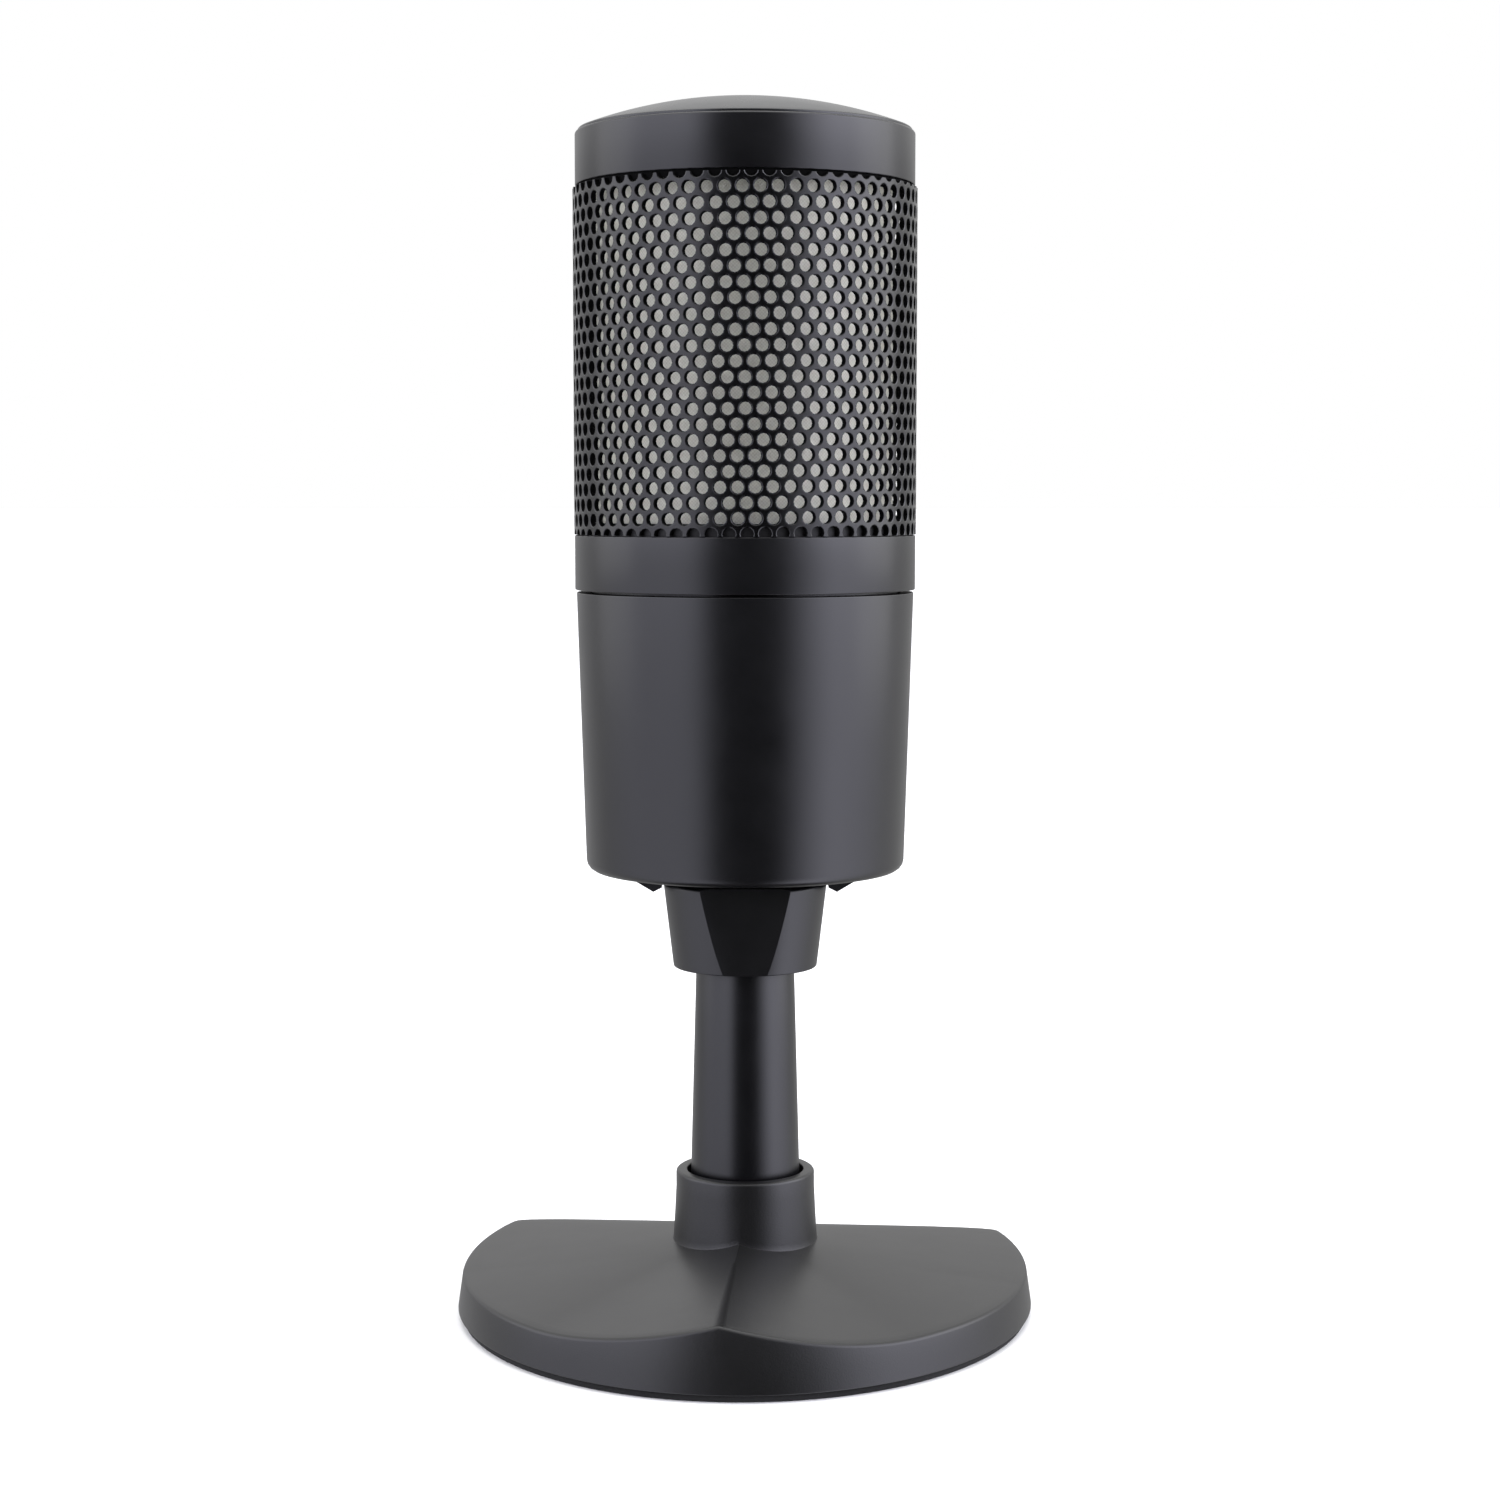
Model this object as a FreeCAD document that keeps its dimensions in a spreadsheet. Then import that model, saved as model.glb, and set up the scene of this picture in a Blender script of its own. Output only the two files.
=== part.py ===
# Desktop microphone: a side-address head that tilts on a short swivelling stem over a weighted base.
#
# Frame: millimetres, +Z up.  The origin is on the underside of the foot pad, on the stem's axis.
# The head's front, with its controls, looks along +Y.  The base's straight edge is on that side.
import math
import os

import FreeCAD
import Part
from FreeCAD import Vector
from Sketcher import Constraint

doc = FreeCAD.newDocument("DesktopMicrophone")
sheet = doc.addObject("Spreadsheet::Sheet", "Dims")


# Driving dimensions -----------------------------------------------------------------------------

DIMENSIONS = {
    # weighted base
    "pad_thickness": 1.2,
    "pad_inset": 0.8,
    "base_half_width": 47.9,
    "base_front": 52.6,
    "base_back": 23.2,
    "base_turn": -4.4,
    "wall_draft": 8.0,
    "corner_radius": 2.0,
    "side_rim_level": 6.9,
    "back_rim_level": 7.8,
    "base_hub_level": 11.5,
    "base_hub_reach": 0.24,
    "back_slope": 0.26,
    "slope_blend": 0.5,
    "ridge_hub_height": 1.9,
    "ridge_rim_height": 4.4,
    "ridge_hub_width": 9.0,
    "ridge_rim_width": 32.0,
    "ridge_shoulder": 1.55,
    "ridge_start": 8.0,
    "shell_inset": 2.4,
    "hub_inset": 16.0,
    "cavity_level": 4.9,
    "hub_cavity_level": 6.9,
    "plate_thickness": 0.8,
    "slack": 0.1,
    # screws
    "base_screw_radius": 1.35,
    "base_screw_head_radius": 2.8,
    "base_screw_head_height": 1.4,
    "screw_radius": 1.0,
    "screw_head_radius": 1.9,
    "screw_head_height": 1.2,
    "screw_hole_radius": 1.1,
    # swivel socket and stem
    "socket_radius": 11.55,
    "socket_foot_radius": 12.1,
    "socket_level": 23.4,
    "socket_bore": 9.7,
    "socket_floor": 11.5,
    "socket_rim": 0.9,
    "socket_chamfer": 0.3,
    "flare_start": 4.0,
    "flare_end": 1.2,
    "washer_thickness": 1.0,
    "stem_foot_radius": 9.35,
    "stem_neck_radius": 8.15,
    "stem_bore": 4.6,
    "bolt_radius": 3.0,
    "bolt_head_radius": 5.0,
    "bolt_head_height": 2.6,
    "bolt_reach": 11.0,
    "bolt_seat": 1.0,
    "stem_web": 4.0,
    "spigot_step": 2.0,
    "spigot_height": 6.5,
    "running_clearance": 0.05,
    # tilting collar
    "collar_foot_level": 57.7,
    "collar_top_level": 72.0,
    "collar_foot_radius": 11.9,
    "collar_top_radius": 13.6,
    "collar_rim": 0.8,
    "collar_flat": 11.35,
    "pivot_level": 75.0,
    "knuckle_radius": 5.2,
    "knuckle_half_width": 12.0,
    "pin_radius": 2.0,
    "cheek_inner": 13.7,
    "cheek_depth": 10.0,
    "cheek_heel_drop": 3.65,
    "cheek_toe_drop": 4.35,
    "cheek_toe_width": 1.4,
    "cheek_slope_drop": 1.55,
    "cheek_slope_width": 6.1,
    "cheek_root_rise": 2.5,
    "cheek_root_width": 8.3,
    "web_thickness": 1.2,
    "washer_radius": 2.9,
    "pin_half_length": 17.5,
    # microphone body
    "body_foot_level": 74.0,
    "body_foot_radius": 26.2,
    "body_seam_level": 119.8,
    "body_seam_radius": 27.65,
    "body_wall": 2.0,
    "foot_round": 1.7,
    "lip_reach": 1.2,
    "lip_thickness": 1.6,
    "floor_level": 82.0,
    "floor_thickness": 2.0,
    "seam_gap": 0.4,
    "band_radius": 27.9,
    "band_top_level": 129.1,
    "band_wall": 1.8,
    "band_ledge_drop": 4.6,
    "plug_radius": 25.05,
    "plug_inner_radius": 24.0,
    "plug_depth": 3.0,
    "grille_radius": 28.0,
    "grille_sheet": 0.8,
    "gauze_radius": 24.2,
    "gauze_sheet": 0.3,
    "seat_top_level": 131.1,
    "ring_spigot_level": 183.2,
    "ring_foot_level": 185.4,
    "ring_radius": 27.6,
    "ring_top_level": 194.0,
    "dome_radius": 27.15,
    "dome_edge_level": 194.4,
    "dome_wall": 1.6,
    "dome_plug_radius": 24.9,
    "dome_bore_radius": 23.2,
    "dome_plug_depth": 2.5,
    "dome_seat_radius": 25.0,
    "dome_seat_depth": 3.6,
    "ring_rim": 0.4,
    "crown_level": 199.4,
    # capsule
    "capsule_level": 160.0,
    "capsule_radius": 8.0,
    "capsule_depth": 8.0,
    "rubber_radius": 10.5,
    "bracket_radius": 13.0,
    # controls on the front
    "knob_level": 97.0,
    "knob_radius": 7.0,
    "knob_face": 33.85,
    "knob_back": 27.45,
    "shaft_radius": 2.0,
    "button_level": 111.5,
    "button_radius": 3.2,
    "button_face": 28.55,
    "light_level": 106.2,
    "light_radius": 0.9,
    "light_back": 19.6,
    "light_face": 27.45,
    "button_back": 21.2,
    "flange_back": 22.0,
    "flange_width": 0.9,
    "flange_thickness": 1.0,
    # boards
    "board_thickness": 1.6,
    "control_board_back": 13.4,
}


class Size:
    """A length that keeps its number and its formula over the sheet's cells together."""

    def __init__(self, number, formula):
        self.number = float(number)
        self.formula = formula

    def combined(self, other, sign, number):
        return Size(number, "(%s %s %s)" % (self.formula, sign, as_size(other).formula))

    def __add__(self, other):
        return self.combined(other, "+", self.number + as_size(other).number)

    def __sub__(self, other):
        return self.combined(other, "-", self.number - as_size(other).number)

    def __mul__(self, other):
        return self.combined(other, "*", self.number * as_size(other).number)

    def __truediv__(self, other):
        return self.combined(other, "/", self.number / as_size(other).number)

    def __neg__(self):
        return as_size(0) - self


def as_size(value):
    return value if isinstance(value, Size) else Size(value, repr(float(value)))


class Sizes:
    """Every driving dimension as an attribute."""


size = Sizes()
for row, (alias, number) in enumerate(DIMENSIONS.items(), start=1):
    sheet.set("A%d" % row, alias)
    sheet.set("B%d" % row, str(number))
    sheet.setAlias("B%d" % row, alias)
    setattr(size, alias, Size(number, "Dims." + alias))
doc.recompute()


# Modelling helpers ------------------------------------------------------------------------------

NODES = []


def bind(feature, prop, value):
    """Tie one property to its formula in the sheet."""
    feature.setExpression(prop, as_size(value).formula)


def node(feature, name):
    """Mark a finished feature as a sub-part: its Label names its file."""
    feature.Label = name
    NODES.append(feature)
    return feature


def put(feature, place, turn=None):
    """Place a feature; turn is an axis and an angle in degrees."""
    if turn:
        feature.Placement.Rotation = FreeCAD.Rotation(Vector(*turn[0]), turn[1])
    for letter, value in zip("xyz", place):
        bind(feature, "Placement.Base." + letter, value)
    return feature


ALONG = {"x": ((0, 1, 0), 90), "y": ((1, 0, 0), -90), "z": None}


def rod(name, radius, length, place=(0, 0, 0), along="z"):
    """A cylinder that starts at place and runs the positive way along an axis."""
    feature = doc.addObject("Part::Cylinder", name)
    bind(feature, "Radius", radius)
    bind(feature, "Height", length)
    return put(feature, place, ALONG[along])


def block(name, spans):
    """A box from three (low, high) spans along X, Y and Z."""
    feature = doc.addObject("Part::Box", name)
    for prop, (low, high) in zip(("Length", "Width", "Height"), spans):
        bind(feature, prop, as_size(high) - low)
    return put(feature, [low for low, high in spans])


def fused(name, pieces):
    feature = doc.addObject("Part::MultiFuse", name)
    feature.Shapes = pieces
    feature.Refine = True
    return feature


def without(name, base, tools):
    """The base with one or more tools cut out of it."""
    feature = doc.addObject("Part::Cut", name)
    feature.Base = base
    feature.Tool = tools[0] if len(tools) == 1 else fused(name + "_tools", tools)
    return feature


def group(name, pieces):
    """Separate solids that share one node."""
    feature = doc.addObject("Part::Compound", name)
    feature.Links = pieces
    return node(feature, name)


def origin_plane(body, role):
    return next(item for item in body.Origin.OriginFeatures if item.Role == role)


def closed_sketch(body, name, plane, points):
    """A closed outline of straight lines, each corner held by formulas over the sheet."""
    sketch = body.newObject("Sketcher::SketchObject", name)
    sketch.AttachmentSupport = (origin_plane(body, plane), "")
    sketch.MapMode = "FlatFace"
    corners = [(as_size(across), as_size(up)) for across, up in points]
    for index, (across, up) in enumerate(corners):
        after = corners[(index + 1) % len(corners)]
        start = Vector(across.number, up.number, 0)
        end = Vector(after[0].number, after[1].number, 0)
        sketch.addGeometry(Part.LineSegment(start, end), False)
    for index in range(len(corners)):
        sketch.addConstraint(Constraint("Coincident", index, 2, (index + 1) % len(corners), 1))
    for index, corner in enumerate(corners):
        for kind, value in zip(("DistanceX", "DistanceY"), corner):
            held = sketch.addConstraint(Constraint(kind, -1, 1, index, 1, value.number))
            sketch.setExpression("Constraints[%d]" % held, value.formula)
    return sketch


def turned(name, points):
    """A body turned about the vertical axis from (radius, level) corners."""
    body = doc.addObject("PartDesign::Body", name)
    sketch = closed_sketch(body, name + "_profile", "XZ_Plane", points)
    turn = body.newObject("PartDesign::Revolution", name + "_turn")
    turn.Profile = sketch
    turn.ReferenceAxis = (sketch, ["V_Axis"])
    turn.Angle = 360
    return body


def prism(name, points, plane, depth):
    """A body padded both ways from an outline on an origin plane."""
    body = doc.addObject("PartDesign::Body", name)
    sketch = closed_sketch(body, name + "_outline", plane, points)
    pad = body.newObject("PartDesign::Pad", name + "_pad")
    pad.Profile = sketch
    pad.Midplane = True
    bind(pad, "Length", depth)
    return body


def rounded(body, name, radius, rings):
    """Round the circular edges of a turned body that lie at (radius, level) corners."""
    doc.recompute()
    base = body.Tip
    chosen = []
    for index, edge in enumerate(base.Shape.Edges, start=1):
        if not isinstance(edge.Curve, Part.Circle):
            continue
        for ring, level in rings:
            near_ring = abs(edge.Curve.Radius - as_size(ring).number) < 0.02
            near_level = abs(edge.Curve.Center.z - as_size(level).number) < 0.02
            if near_ring and near_level:
                chosen.append("Edge%d" % index)
    fillet = body.newObject("PartDesign::Fillet", name)
    fillet.Base = (base, chosen)
    bind(fillet, "Radius", radius)
    return body


def screw(name, place, shank_length, up=True):
    """One small pan-head screw whose head rests at place, its shank pointing up or down."""
    head_length = size.screw_head_height
    overlap = 0.2
    axis = 2
    head_start = list(place)
    shank_start = list(place)
    if up:
        head_start[axis] = as_size(place[axis]) - head_length
        shank_start[axis] = as_size(place[axis]) - overlap
    else:
        shank_start[axis] = as_size(place[axis]) - shank_length
    pieces = [
        rod(name + "_head", size.screw_head_radius, head_length, head_start),
        rod(name + "_shank", size.screw_radius, as_size(shank_length) + overlap, shank_start),
    ]
    return fused(name, pieces)


# Weighted base ----------------------------------------------------------------------------------
# The base is a half-ellipse toward -Y with a straight edge toward +Y.  Its top falls from the
# socket to the rim, and a fan-shaped ridge runs from the socket to the rounded front.

def base_outline(inset, level):
    """The closed D outline, inset from the base's full size, as a wire at one level."""
    half_width = size.base_half_width.number - inset
    front = size.base_front.number - inset
    back = size.base_back.number - inset
    major = Vector(0, -front, level)
    ellipse = Part.Ellipse(major, Vector(half_width, 0, level), Vector(0, 0, level))
    across = half_width * math.sqrt(1 - (back / front) ** 2)
    left = Vector(-across, back, level)
    right = Vector(across, back, level)
    first = ellipse.parameter(left)
    last = ellipse.parameter(right)
    arc = ellipse.trim(min(first, last), max(first, last)).toShape()
    if arc.valueAt((arc.FirstParameter + arc.LastParameter) / 2).y > 0:
        arc = ellipse.trim(max(first, last), min(first, last) + 2 * math.pi).toShape()
    return Part.Wire([arc, Part.LineSegment(arc.Vertexes[-1].Point, arc.Vertexes[0].Point).toShape()])


def base_slab(inset, low, high):
    """A straight-sided D plate between two levels."""
    return Part.Face(base_outline(inset, low)).extrude(Vector(0, 0, high - low))


def top_level(across, along):
    """The height of the base's top over (across, along), before the socket is added."""
    half_width = size.base_half_width.number
    front = size.base_front.number
    back = size.base_back.number
    hub = size.base_hub_level.number
    side_rim = size.side_rim_level.number
    back_rim = size.back_rim_level.number
    hub_reach = size.base_hub_reach.number
    reach = math.hypot(across / half_width, along / front)
    back_share = min(1.0, max(0.0, (along + 10.0) / (back + 10.0)))
    rim = side_rim + (back_rim - side_rim) * back_share
    fall = max(0.0, reach - hub_reach) / (1 - hub_reach)
    side_slope = hub - (hub - rim) * fall
    back_slope = back_rim + size.back_slope.number * (back - along)
    softness = size.slope_blend.number
    gap = math.hypot(side_slope - back_slope, softness)
    plain = (side_slope + back_slope - gap) / 2 + softness / 4
    progress = min(1.0, max(0.0, (-along - socket_reach) / (front - socket_reach)))
    width = mix(size.ridge_hub_width.number, size.ridge_rim_width.number, progress)
    height = mix(size.ridge_hub_height.number, size.ridge_rim_height.number, progress)
    shoulder = max(0.0, 1 - abs(across) / width) ** size.ridge_shoulder.number
    fade = min(1.0, max(0.0, -along / size.ridge_start.number))
    return plain + height * shoulder * fade


def mix(start, end, share):
    return start + (end - start) * share


socket_reach = size.socket_foot_radius.number


def half_top(side):
    """The top's surface over one half of the base, from the ridge's crease outward."""
    columns = 15
    rows = 23
    overhang = 3.0
    half_width = size.base_half_width.number + overhang
    nearest = -size.base_front.number - overhang
    farthest = size.base_back.number + overhang
    grid = []
    for column in range(columns):
        across = side * half_width * (column / (columns - 1)) ** 1.3
        line = []
        for row in range(rows):
            along = mix(nearest, farthest, row / (rows - 1))
            line.append(Vector(across, along, top_level(across, along)))
        grid.append(line)
    surface = Part.BSplineSurface()
    surface.interpolate(grid)
    return surface.toShape().extrude(Vector(0, 0, -30))


def drafted_block():
    """The base's outline drawn in as it rises, with rounded back corners."""
    foot = size.pad_thickness.number
    height = 24.0
    lean = height * math.tan(math.radians(size.wall_draft.number))
    walls = Part.makeLoft([base_outline(0, foot), base_outline(lean, foot + height)], True, True)
    corners = [
        edge for edge in walls.Edges
        if edge.BoundBox.ZLength > height * 0.9 and edge.BoundBox.YMin > 0
    ]
    return walls.makeFillet(size.corner_radius.number, corners)


def raw_feature(name, shape, turn=0.0):
    """A sub-part whose shape is worked out here from the sheet's sizes."""
    feature = doc.addObject("Part::Feature", name)
    feature.Shape = shape
    feature.Placement = FreeCAD.Placement(Vector(), FreeCAD.Rotation(Vector(0, 0, 1), turn))
    return node(feature, name)


def socket_shape():
    """The upright ring that the stem stands in, flared into the base at its foot."""
    ring = size.socket_radius.number
    flare = size.socket_foot_radius.number
    top = size.socket_level.number
    bore = size.socket_bore.number
    floor = size.socket_floor.number
    hole = size.bolt_radius.number + size.running_clearance.number
    under = size.hub_cavity_level.number + size.bolt_seat.number
    rim = size.socket_rim.number
    chamfer = size.socket_chamfer.number
    corners = [
        Vector(hole, 0, under), Vector(flare, 0, under), Vector(flare, 0, floor + size.flare_end.number),
        Vector(ring, 0, floor + size.flare_start.number), Vector(ring, 0, top - rim),
        Vector(ring - rim, 0, top), Vector(bore + chamfer, 0, top), Vector(bore, 0, top - chamfer),
        Vector(bore, 0, floor), Vector(hole, 0, floor),
    ]
    outline = Part.makePolygon(corners + corners[:1])
    return Part.Face(outline).revolve(Vector(), Vector(0, 0, 1), 360)


SCREW_SPOTS = [(-24.0, -16.0), (24.0, -16.0), (-22.0, 10.5), (22.0, 10.5)]


def upright_rods(radius, low, high, spots):
    return [Part.makeCylinder(radius, high - low, Vector(x, y, low)) for x, y in spots]


def make_base():
    turn = size.base_turn.number
    foot = size.pad_thickness.number
    inset = size.shell_inset.number
    slack = size.slack.number
    thread = size.base_screw_radius.number
    head_radius = size.base_screw_head_radius.number
    head_height = size.base_screw_head_height.number
    edge_level = size.cavity_level.number
    hub_level = size.hub_cavity_level.number
    tops = half_top(1).fuse(half_top(-1))
    top = drafted_block().common(tops)
    bore = Part.makeCylinder(size.bolt_head_radius.number, 20, Vector(0, 0, edge_level))
    bore = bore.fuse(Part.makeCylinder(size.socket_bore.number, 20, Vector(0, 0, size.socket_floor.number)))
    hub_inset = size.hub_inset.number
    cavity = base_slab(inset, foot - 1, edge_level).fuse(base_slab(hub_inset, foot, hub_level))
    holes = upright_rods(thread + slack / 2, edge_level - 1, hub_level + 2.0, SCREW_SPOTS)
    shell = top.cut(bore).fuse(socket_shape()).cut(cavity.fuse(holes)).removeSplitter()
    raw_feature("base_shell", shell, turn)

    plate_top = foot + size.plate_thickness.number
    raw_feature("base_plate", base_slab(inset + slack, foot, plate_top), turn)

    weight = base_slab(inset + slack, plate_top, edge_level - slack)
    weight = weight.fuse(base_slab(hub_inset + slack, plate_top, hub_level - slack))
    seats = upright_rods(head_radius + 2 * slack, plate_top - 1, plate_top + head_height + slack, SCREW_SPOTS)
    shafts = upright_rods(thread + 1.5 * slack, plate_top - 1, hub_level + 1, SCREW_SPOTS)
    clearance = Part.makeCylinder(size.bolt_head_radius.number + 1.0, 20, Vector(0, 0, plate_top))
    weight = weight.cut(seats[0].fuse(seats[1:] + shafts + [clearance])).removeSplitter()
    raw_feature("base_weight", weight, turn)

    screws = []
    for x, y in SCREW_SPOTS:
        start = Vector(x, y, plate_top + slack)
        head = Part.makeCylinder(head_radius, head_height, start)
        shank = Part.makeCylinder(thread, hub_level + 1.8 - plate_top, start)
        screws.append(head.fuse(shank).removeSplitter())
    raw_feature("base_screws", Part.makeCompound(screws), turn)
    raw_feature("foot_pad", base_slab(size.pad_inset.number, 0, foot), turn)


# Stem and swivel --------------------------------------------------------------------------------

def make_stem():
    play = size.running_clearance
    washer_top = size.socket_floor + size.washer_thickness
    washer = turned("swivel_washer", [
        (size.bolt_radius + 0.4, size.socket_floor), (size.socket_bore - 0.3, size.socket_floor),
        (size.socket_bore - 0.3, washer_top), (size.bolt_radius + 0.4, washer_top),
    ])
    node(washer, "swivel_washer")

    foot = washer_top + play
    neck = size.collar_foot_level
    spigot_top = neck + size.spigot_height
    spigot = size.stem_neck_radius - size.spigot_step
    bolt_way = size.bolt_radius + 0.1
    stem = turned("stem", [
        (size.stem_bore, foot), (size.stem_foot_radius, foot),
        (size.stem_neck_radius, neck), (spigot, neck), (spigot, spigot_top), (bolt_way, spigot_top),
        (bolt_way, neck - size.stem_web), (size.stem_bore, neck - size.stem_web),
    ])
    node(stem, "stem")

    head_top = size.hub_cavity_level + size.bolt_seat - play
    head_foot = head_top - size.bolt_head_height
    bolt = fused("stem_bolt", [
        rod("bolt_head", size.bolt_head_radius - size.slack, size.bolt_head_height, (0, 0, head_foot)),
        rod("bolt_shank", size.bolt_radius, neck + size.bolt_reach - head_top, (0, 0, head_top - 0.5)),
    ])
    node(bolt, "stem_bolt")


# Tilting collar ---------------------------------------------------------------------------------

def make_collar():
    foot = size.collar_foot_level
    top = size.collar_top_level
    cone = turned("collar_cone", [
        (0, foot), (size.collar_foot_radius, foot), (size.collar_top_radius, top), (0, top),
    ])
    rounded(cone, "collar_rim", size.collar_rim, [(size.collar_top_radius, top)])
    half = size.knuckle_half_width
    deep = size.knuckle_radius
    knuckle = fused("knuckle", [
        block("knuckle_post", [(-half, half), (-deep, deep), (top - 2.0, size.pivot_level)]),
        rod("knuckle_barrel", deep, half * 2, (-half, 0, size.pivot_level), "x"),
    ])
    far = size.collar_top_radius + 5.0
    flats = [
        block("front_flat", [(-far, far), (size.collar_flat, far), (foot - 1.0, top + 1.0)]),
        block("back_flat", [(-far, far), (-far, -size.collar_flat), (foot - 1.0, top + 1.0)]),
    ]
    bores = [
        rod("spigot_bore", size.stem_neck_radius - size.spigot_step + size.running_clearance,
            size.spigot_height + size.running_clearance, (0, 0, foot)),
        rod("bolt_bore", size.bolt_radius, 10.7, (0, 0, foot)),
        rod("pin_bore", size.pin_radius + 0.04, half * 4, (-half * 2, 0, size.pivot_level), "x"),
    ]
    collar = without("pivot_collar", fused("collar_blank", [cone, knuckle]), flats + bores)
    node(collar, "pivot_collar")

    washers = []
    thickness = size.cheek_inner - half - size.slack
    play = size.running_clearance
    for side, start in (("left", play - size.cheek_inner), ("right", half + play)):
        disc = rod(side + "_disc", size.washer_radius, thickness, (start, 0, size.pivot_level), "x")
        bore = rod(side + "_washer_bore", size.pin_radius + size.slack, thickness * 3,
                   (start - thickness, 0, size.pivot_level), "x")
        washers.append(without(side + "_washer", disc, [bore]))
    group("tilt_washers", washers)


# Microphone body --------------------------------------------------------------------------------

def wall_radius(level):
    """The outer radius of the tapered housing at a level."""
    rise = as_size(level) - size.body_foot_level
    slope = (size.body_seam_radius - size.body_foot_radius) / (size.body_seam_level - size.body_foot_level)
    return size.body_foot_radius + rise * slope


BRACKET_SCREW_SPOTS = [(-9.0, -3.2), (9.0, -3.2), (-9.0, 3.2), (9.0, 3.2)]
FLOOR_SCREW_SPOTS = [(-19.2, 7.2), (19.2, 7.2)]


def make_tilt_bracket():
    """Two cheeks under the floor that carry the pin, each with a sloping outer buttress."""
    top = size.floor_level
    inner = size.cheek_inner
    pivot = size.pivot_level
    root = inner + size.cheek_root_width
    cheeks = []
    for name, side in (("cheek_left", -1), ("cheek_right", 1)):
        points = [
            (inner * side, top), (inner * side, pivot - size.cheek_heel_drop),
            ((inner + size.cheek_toe_width) * side, pivot - size.cheek_toe_drop),
            ((inner + size.cheek_slope_width) * side, pivot - size.cheek_slope_drop),
            (root * side, pivot + size.cheek_root_rise), (root * side, top),
        ]
        cheeks.append(prism(name, points, "XZ_Plane", size.cheek_depth))
    half_depth = size.cheek_depth / 2
    web = block("cheek_web", [(-root, root), (-half_depth, half_depth), (top - size.web_thickness, top)])
    pin = rod("cheek_bore", size.pin_radius + 0.01, root * 2, (-root, 0, pivot), "x")
    holes = [
        rod("bracket_hole_%d" % index, size.screw_hole_radius, 6, (x, y, top - 3))
        for index, (x, y) in enumerate(BRACKET_SCREW_SPOTS)
    ]
    bracket = without("tilt_bracket", fused("bracket_blank", cheeks + [web]), [pin] + holes)
    node(bracket, "tilt_bracket")
    end = size.pin_half_length
    node(rod("tilt_pin", size.pin_radius, end * 2, (-end, 0, pivot), "x"), "tilt_pin")
    screws = [
        screw("bracket_screw_%d" % index, (x, y, top + size.floor_thickness), 3.2, up=False)
        for index, (x, y) in enumerate(BRACKET_SCREW_SPOTS)
    ]
    group("bracket_screws", screws)


def make_housing():
    foot = size.body_foot_level
    seam = size.body_seam_level
    wall = size.body_wall
    ledge = size.floor_level
    lip = size.body_foot_radius - wall - size.lip_reach
    lip_foot = ledge - size.lip_thickness
    wall_inside = wall_radius(ledge) - wall
    shell = turned("housing_shell", [
        (size.body_foot_radius - wall, foot), (size.body_foot_radius, foot),
        (size.body_seam_radius, seam), (size.body_seam_radius - wall, seam), (wall_inside, ledge),
        (lip, ledge), (lip, lip_foot), (wall_inside, lip_foot),
    ])
    rounded(shell, "housing_foot_round", size.foot_round, [(size.body_foot_radius, foot)])
    holes = [
        rod("knob_hole", size.shaft_radius + 0.4, 12, (0, 20, size.knob_level), "y"),
        rod("button_hole", size.button_radius + 0.08, 12, (0, 20, size.button_level), "y"),
        rod("light_hole", size.light_radius + 0.02, 12, (0, 20, size.light_level), "y"),
    ]
    node(without("lower_housing", shell, holes), "lower_housing")

    top = ledge + size.floor_thickness
    disc = rod("floor_disc", wall_inside - size.slack, size.floor_thickness, (0, 0, ledge))
    cutouts = [block("usb_cutout", [(-4.6, 4.6), (-19.5, -16.1), (ledge - 1, top + 1)])]
    for index, (x, y) in enumerate(BRACKET_SCREW_SPOTS + FLOOR_SCREW_SPOTS):
        cutouts.append(rod("floor_hole_%d" % index, size.screw_hole_radius, 6, (x, y, ledge - 2)))
    node(without("body_floor", disc, cutouts), "body_floor")
    screws = [
        screw("floor_screw_%d" % index, (x, y, ledge), 7.0)
        for index, (x, y) in enumerate(FLOOR_SCREW_SPOTS)
    ]
    group("floor_screws", screws)


def make_chassis():
    """A disc inside the seam with two rails that hold the main board and take the floor's screws."""
    foot = size.floor_level + size.floor_thickness
    under = size.body_seam_level + 1.2
    half_board = size.board_thickness / 2
    disc = rod("chassis_disc", 23.9, 2.0, (0, 0, under))
    rails = []
    slots = [rod("wire_hole", 4.0, 6, (0, 12, under - 1))]
    for side in (-1, 1):
        low, high = sorted((side * 17.4, side * 20.9))
        rails.append(block("rail_%d" % side, [(low, high), (-4.0, 9.2), (foot, under + 0.5)]))
        low, high = sorted((side * 17.0, side * 18.7))
        slots.append(block("slot_%d" % side, [
            (low, high), (-half_board - 0.05, half_board + 0.05), (foot - 1, under)]))
    for index, (x, y) in enumerate(FLOOR_SCREW_SPOTS):
        slots.append(rod("rail_bore_%d" % index, size.screw_radius, 8.0, (x, y, foot - 1)))
    node(without("inner_chassis", fused("chassis_blank", [disc] + rails), slots), "inner_chassis")


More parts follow.
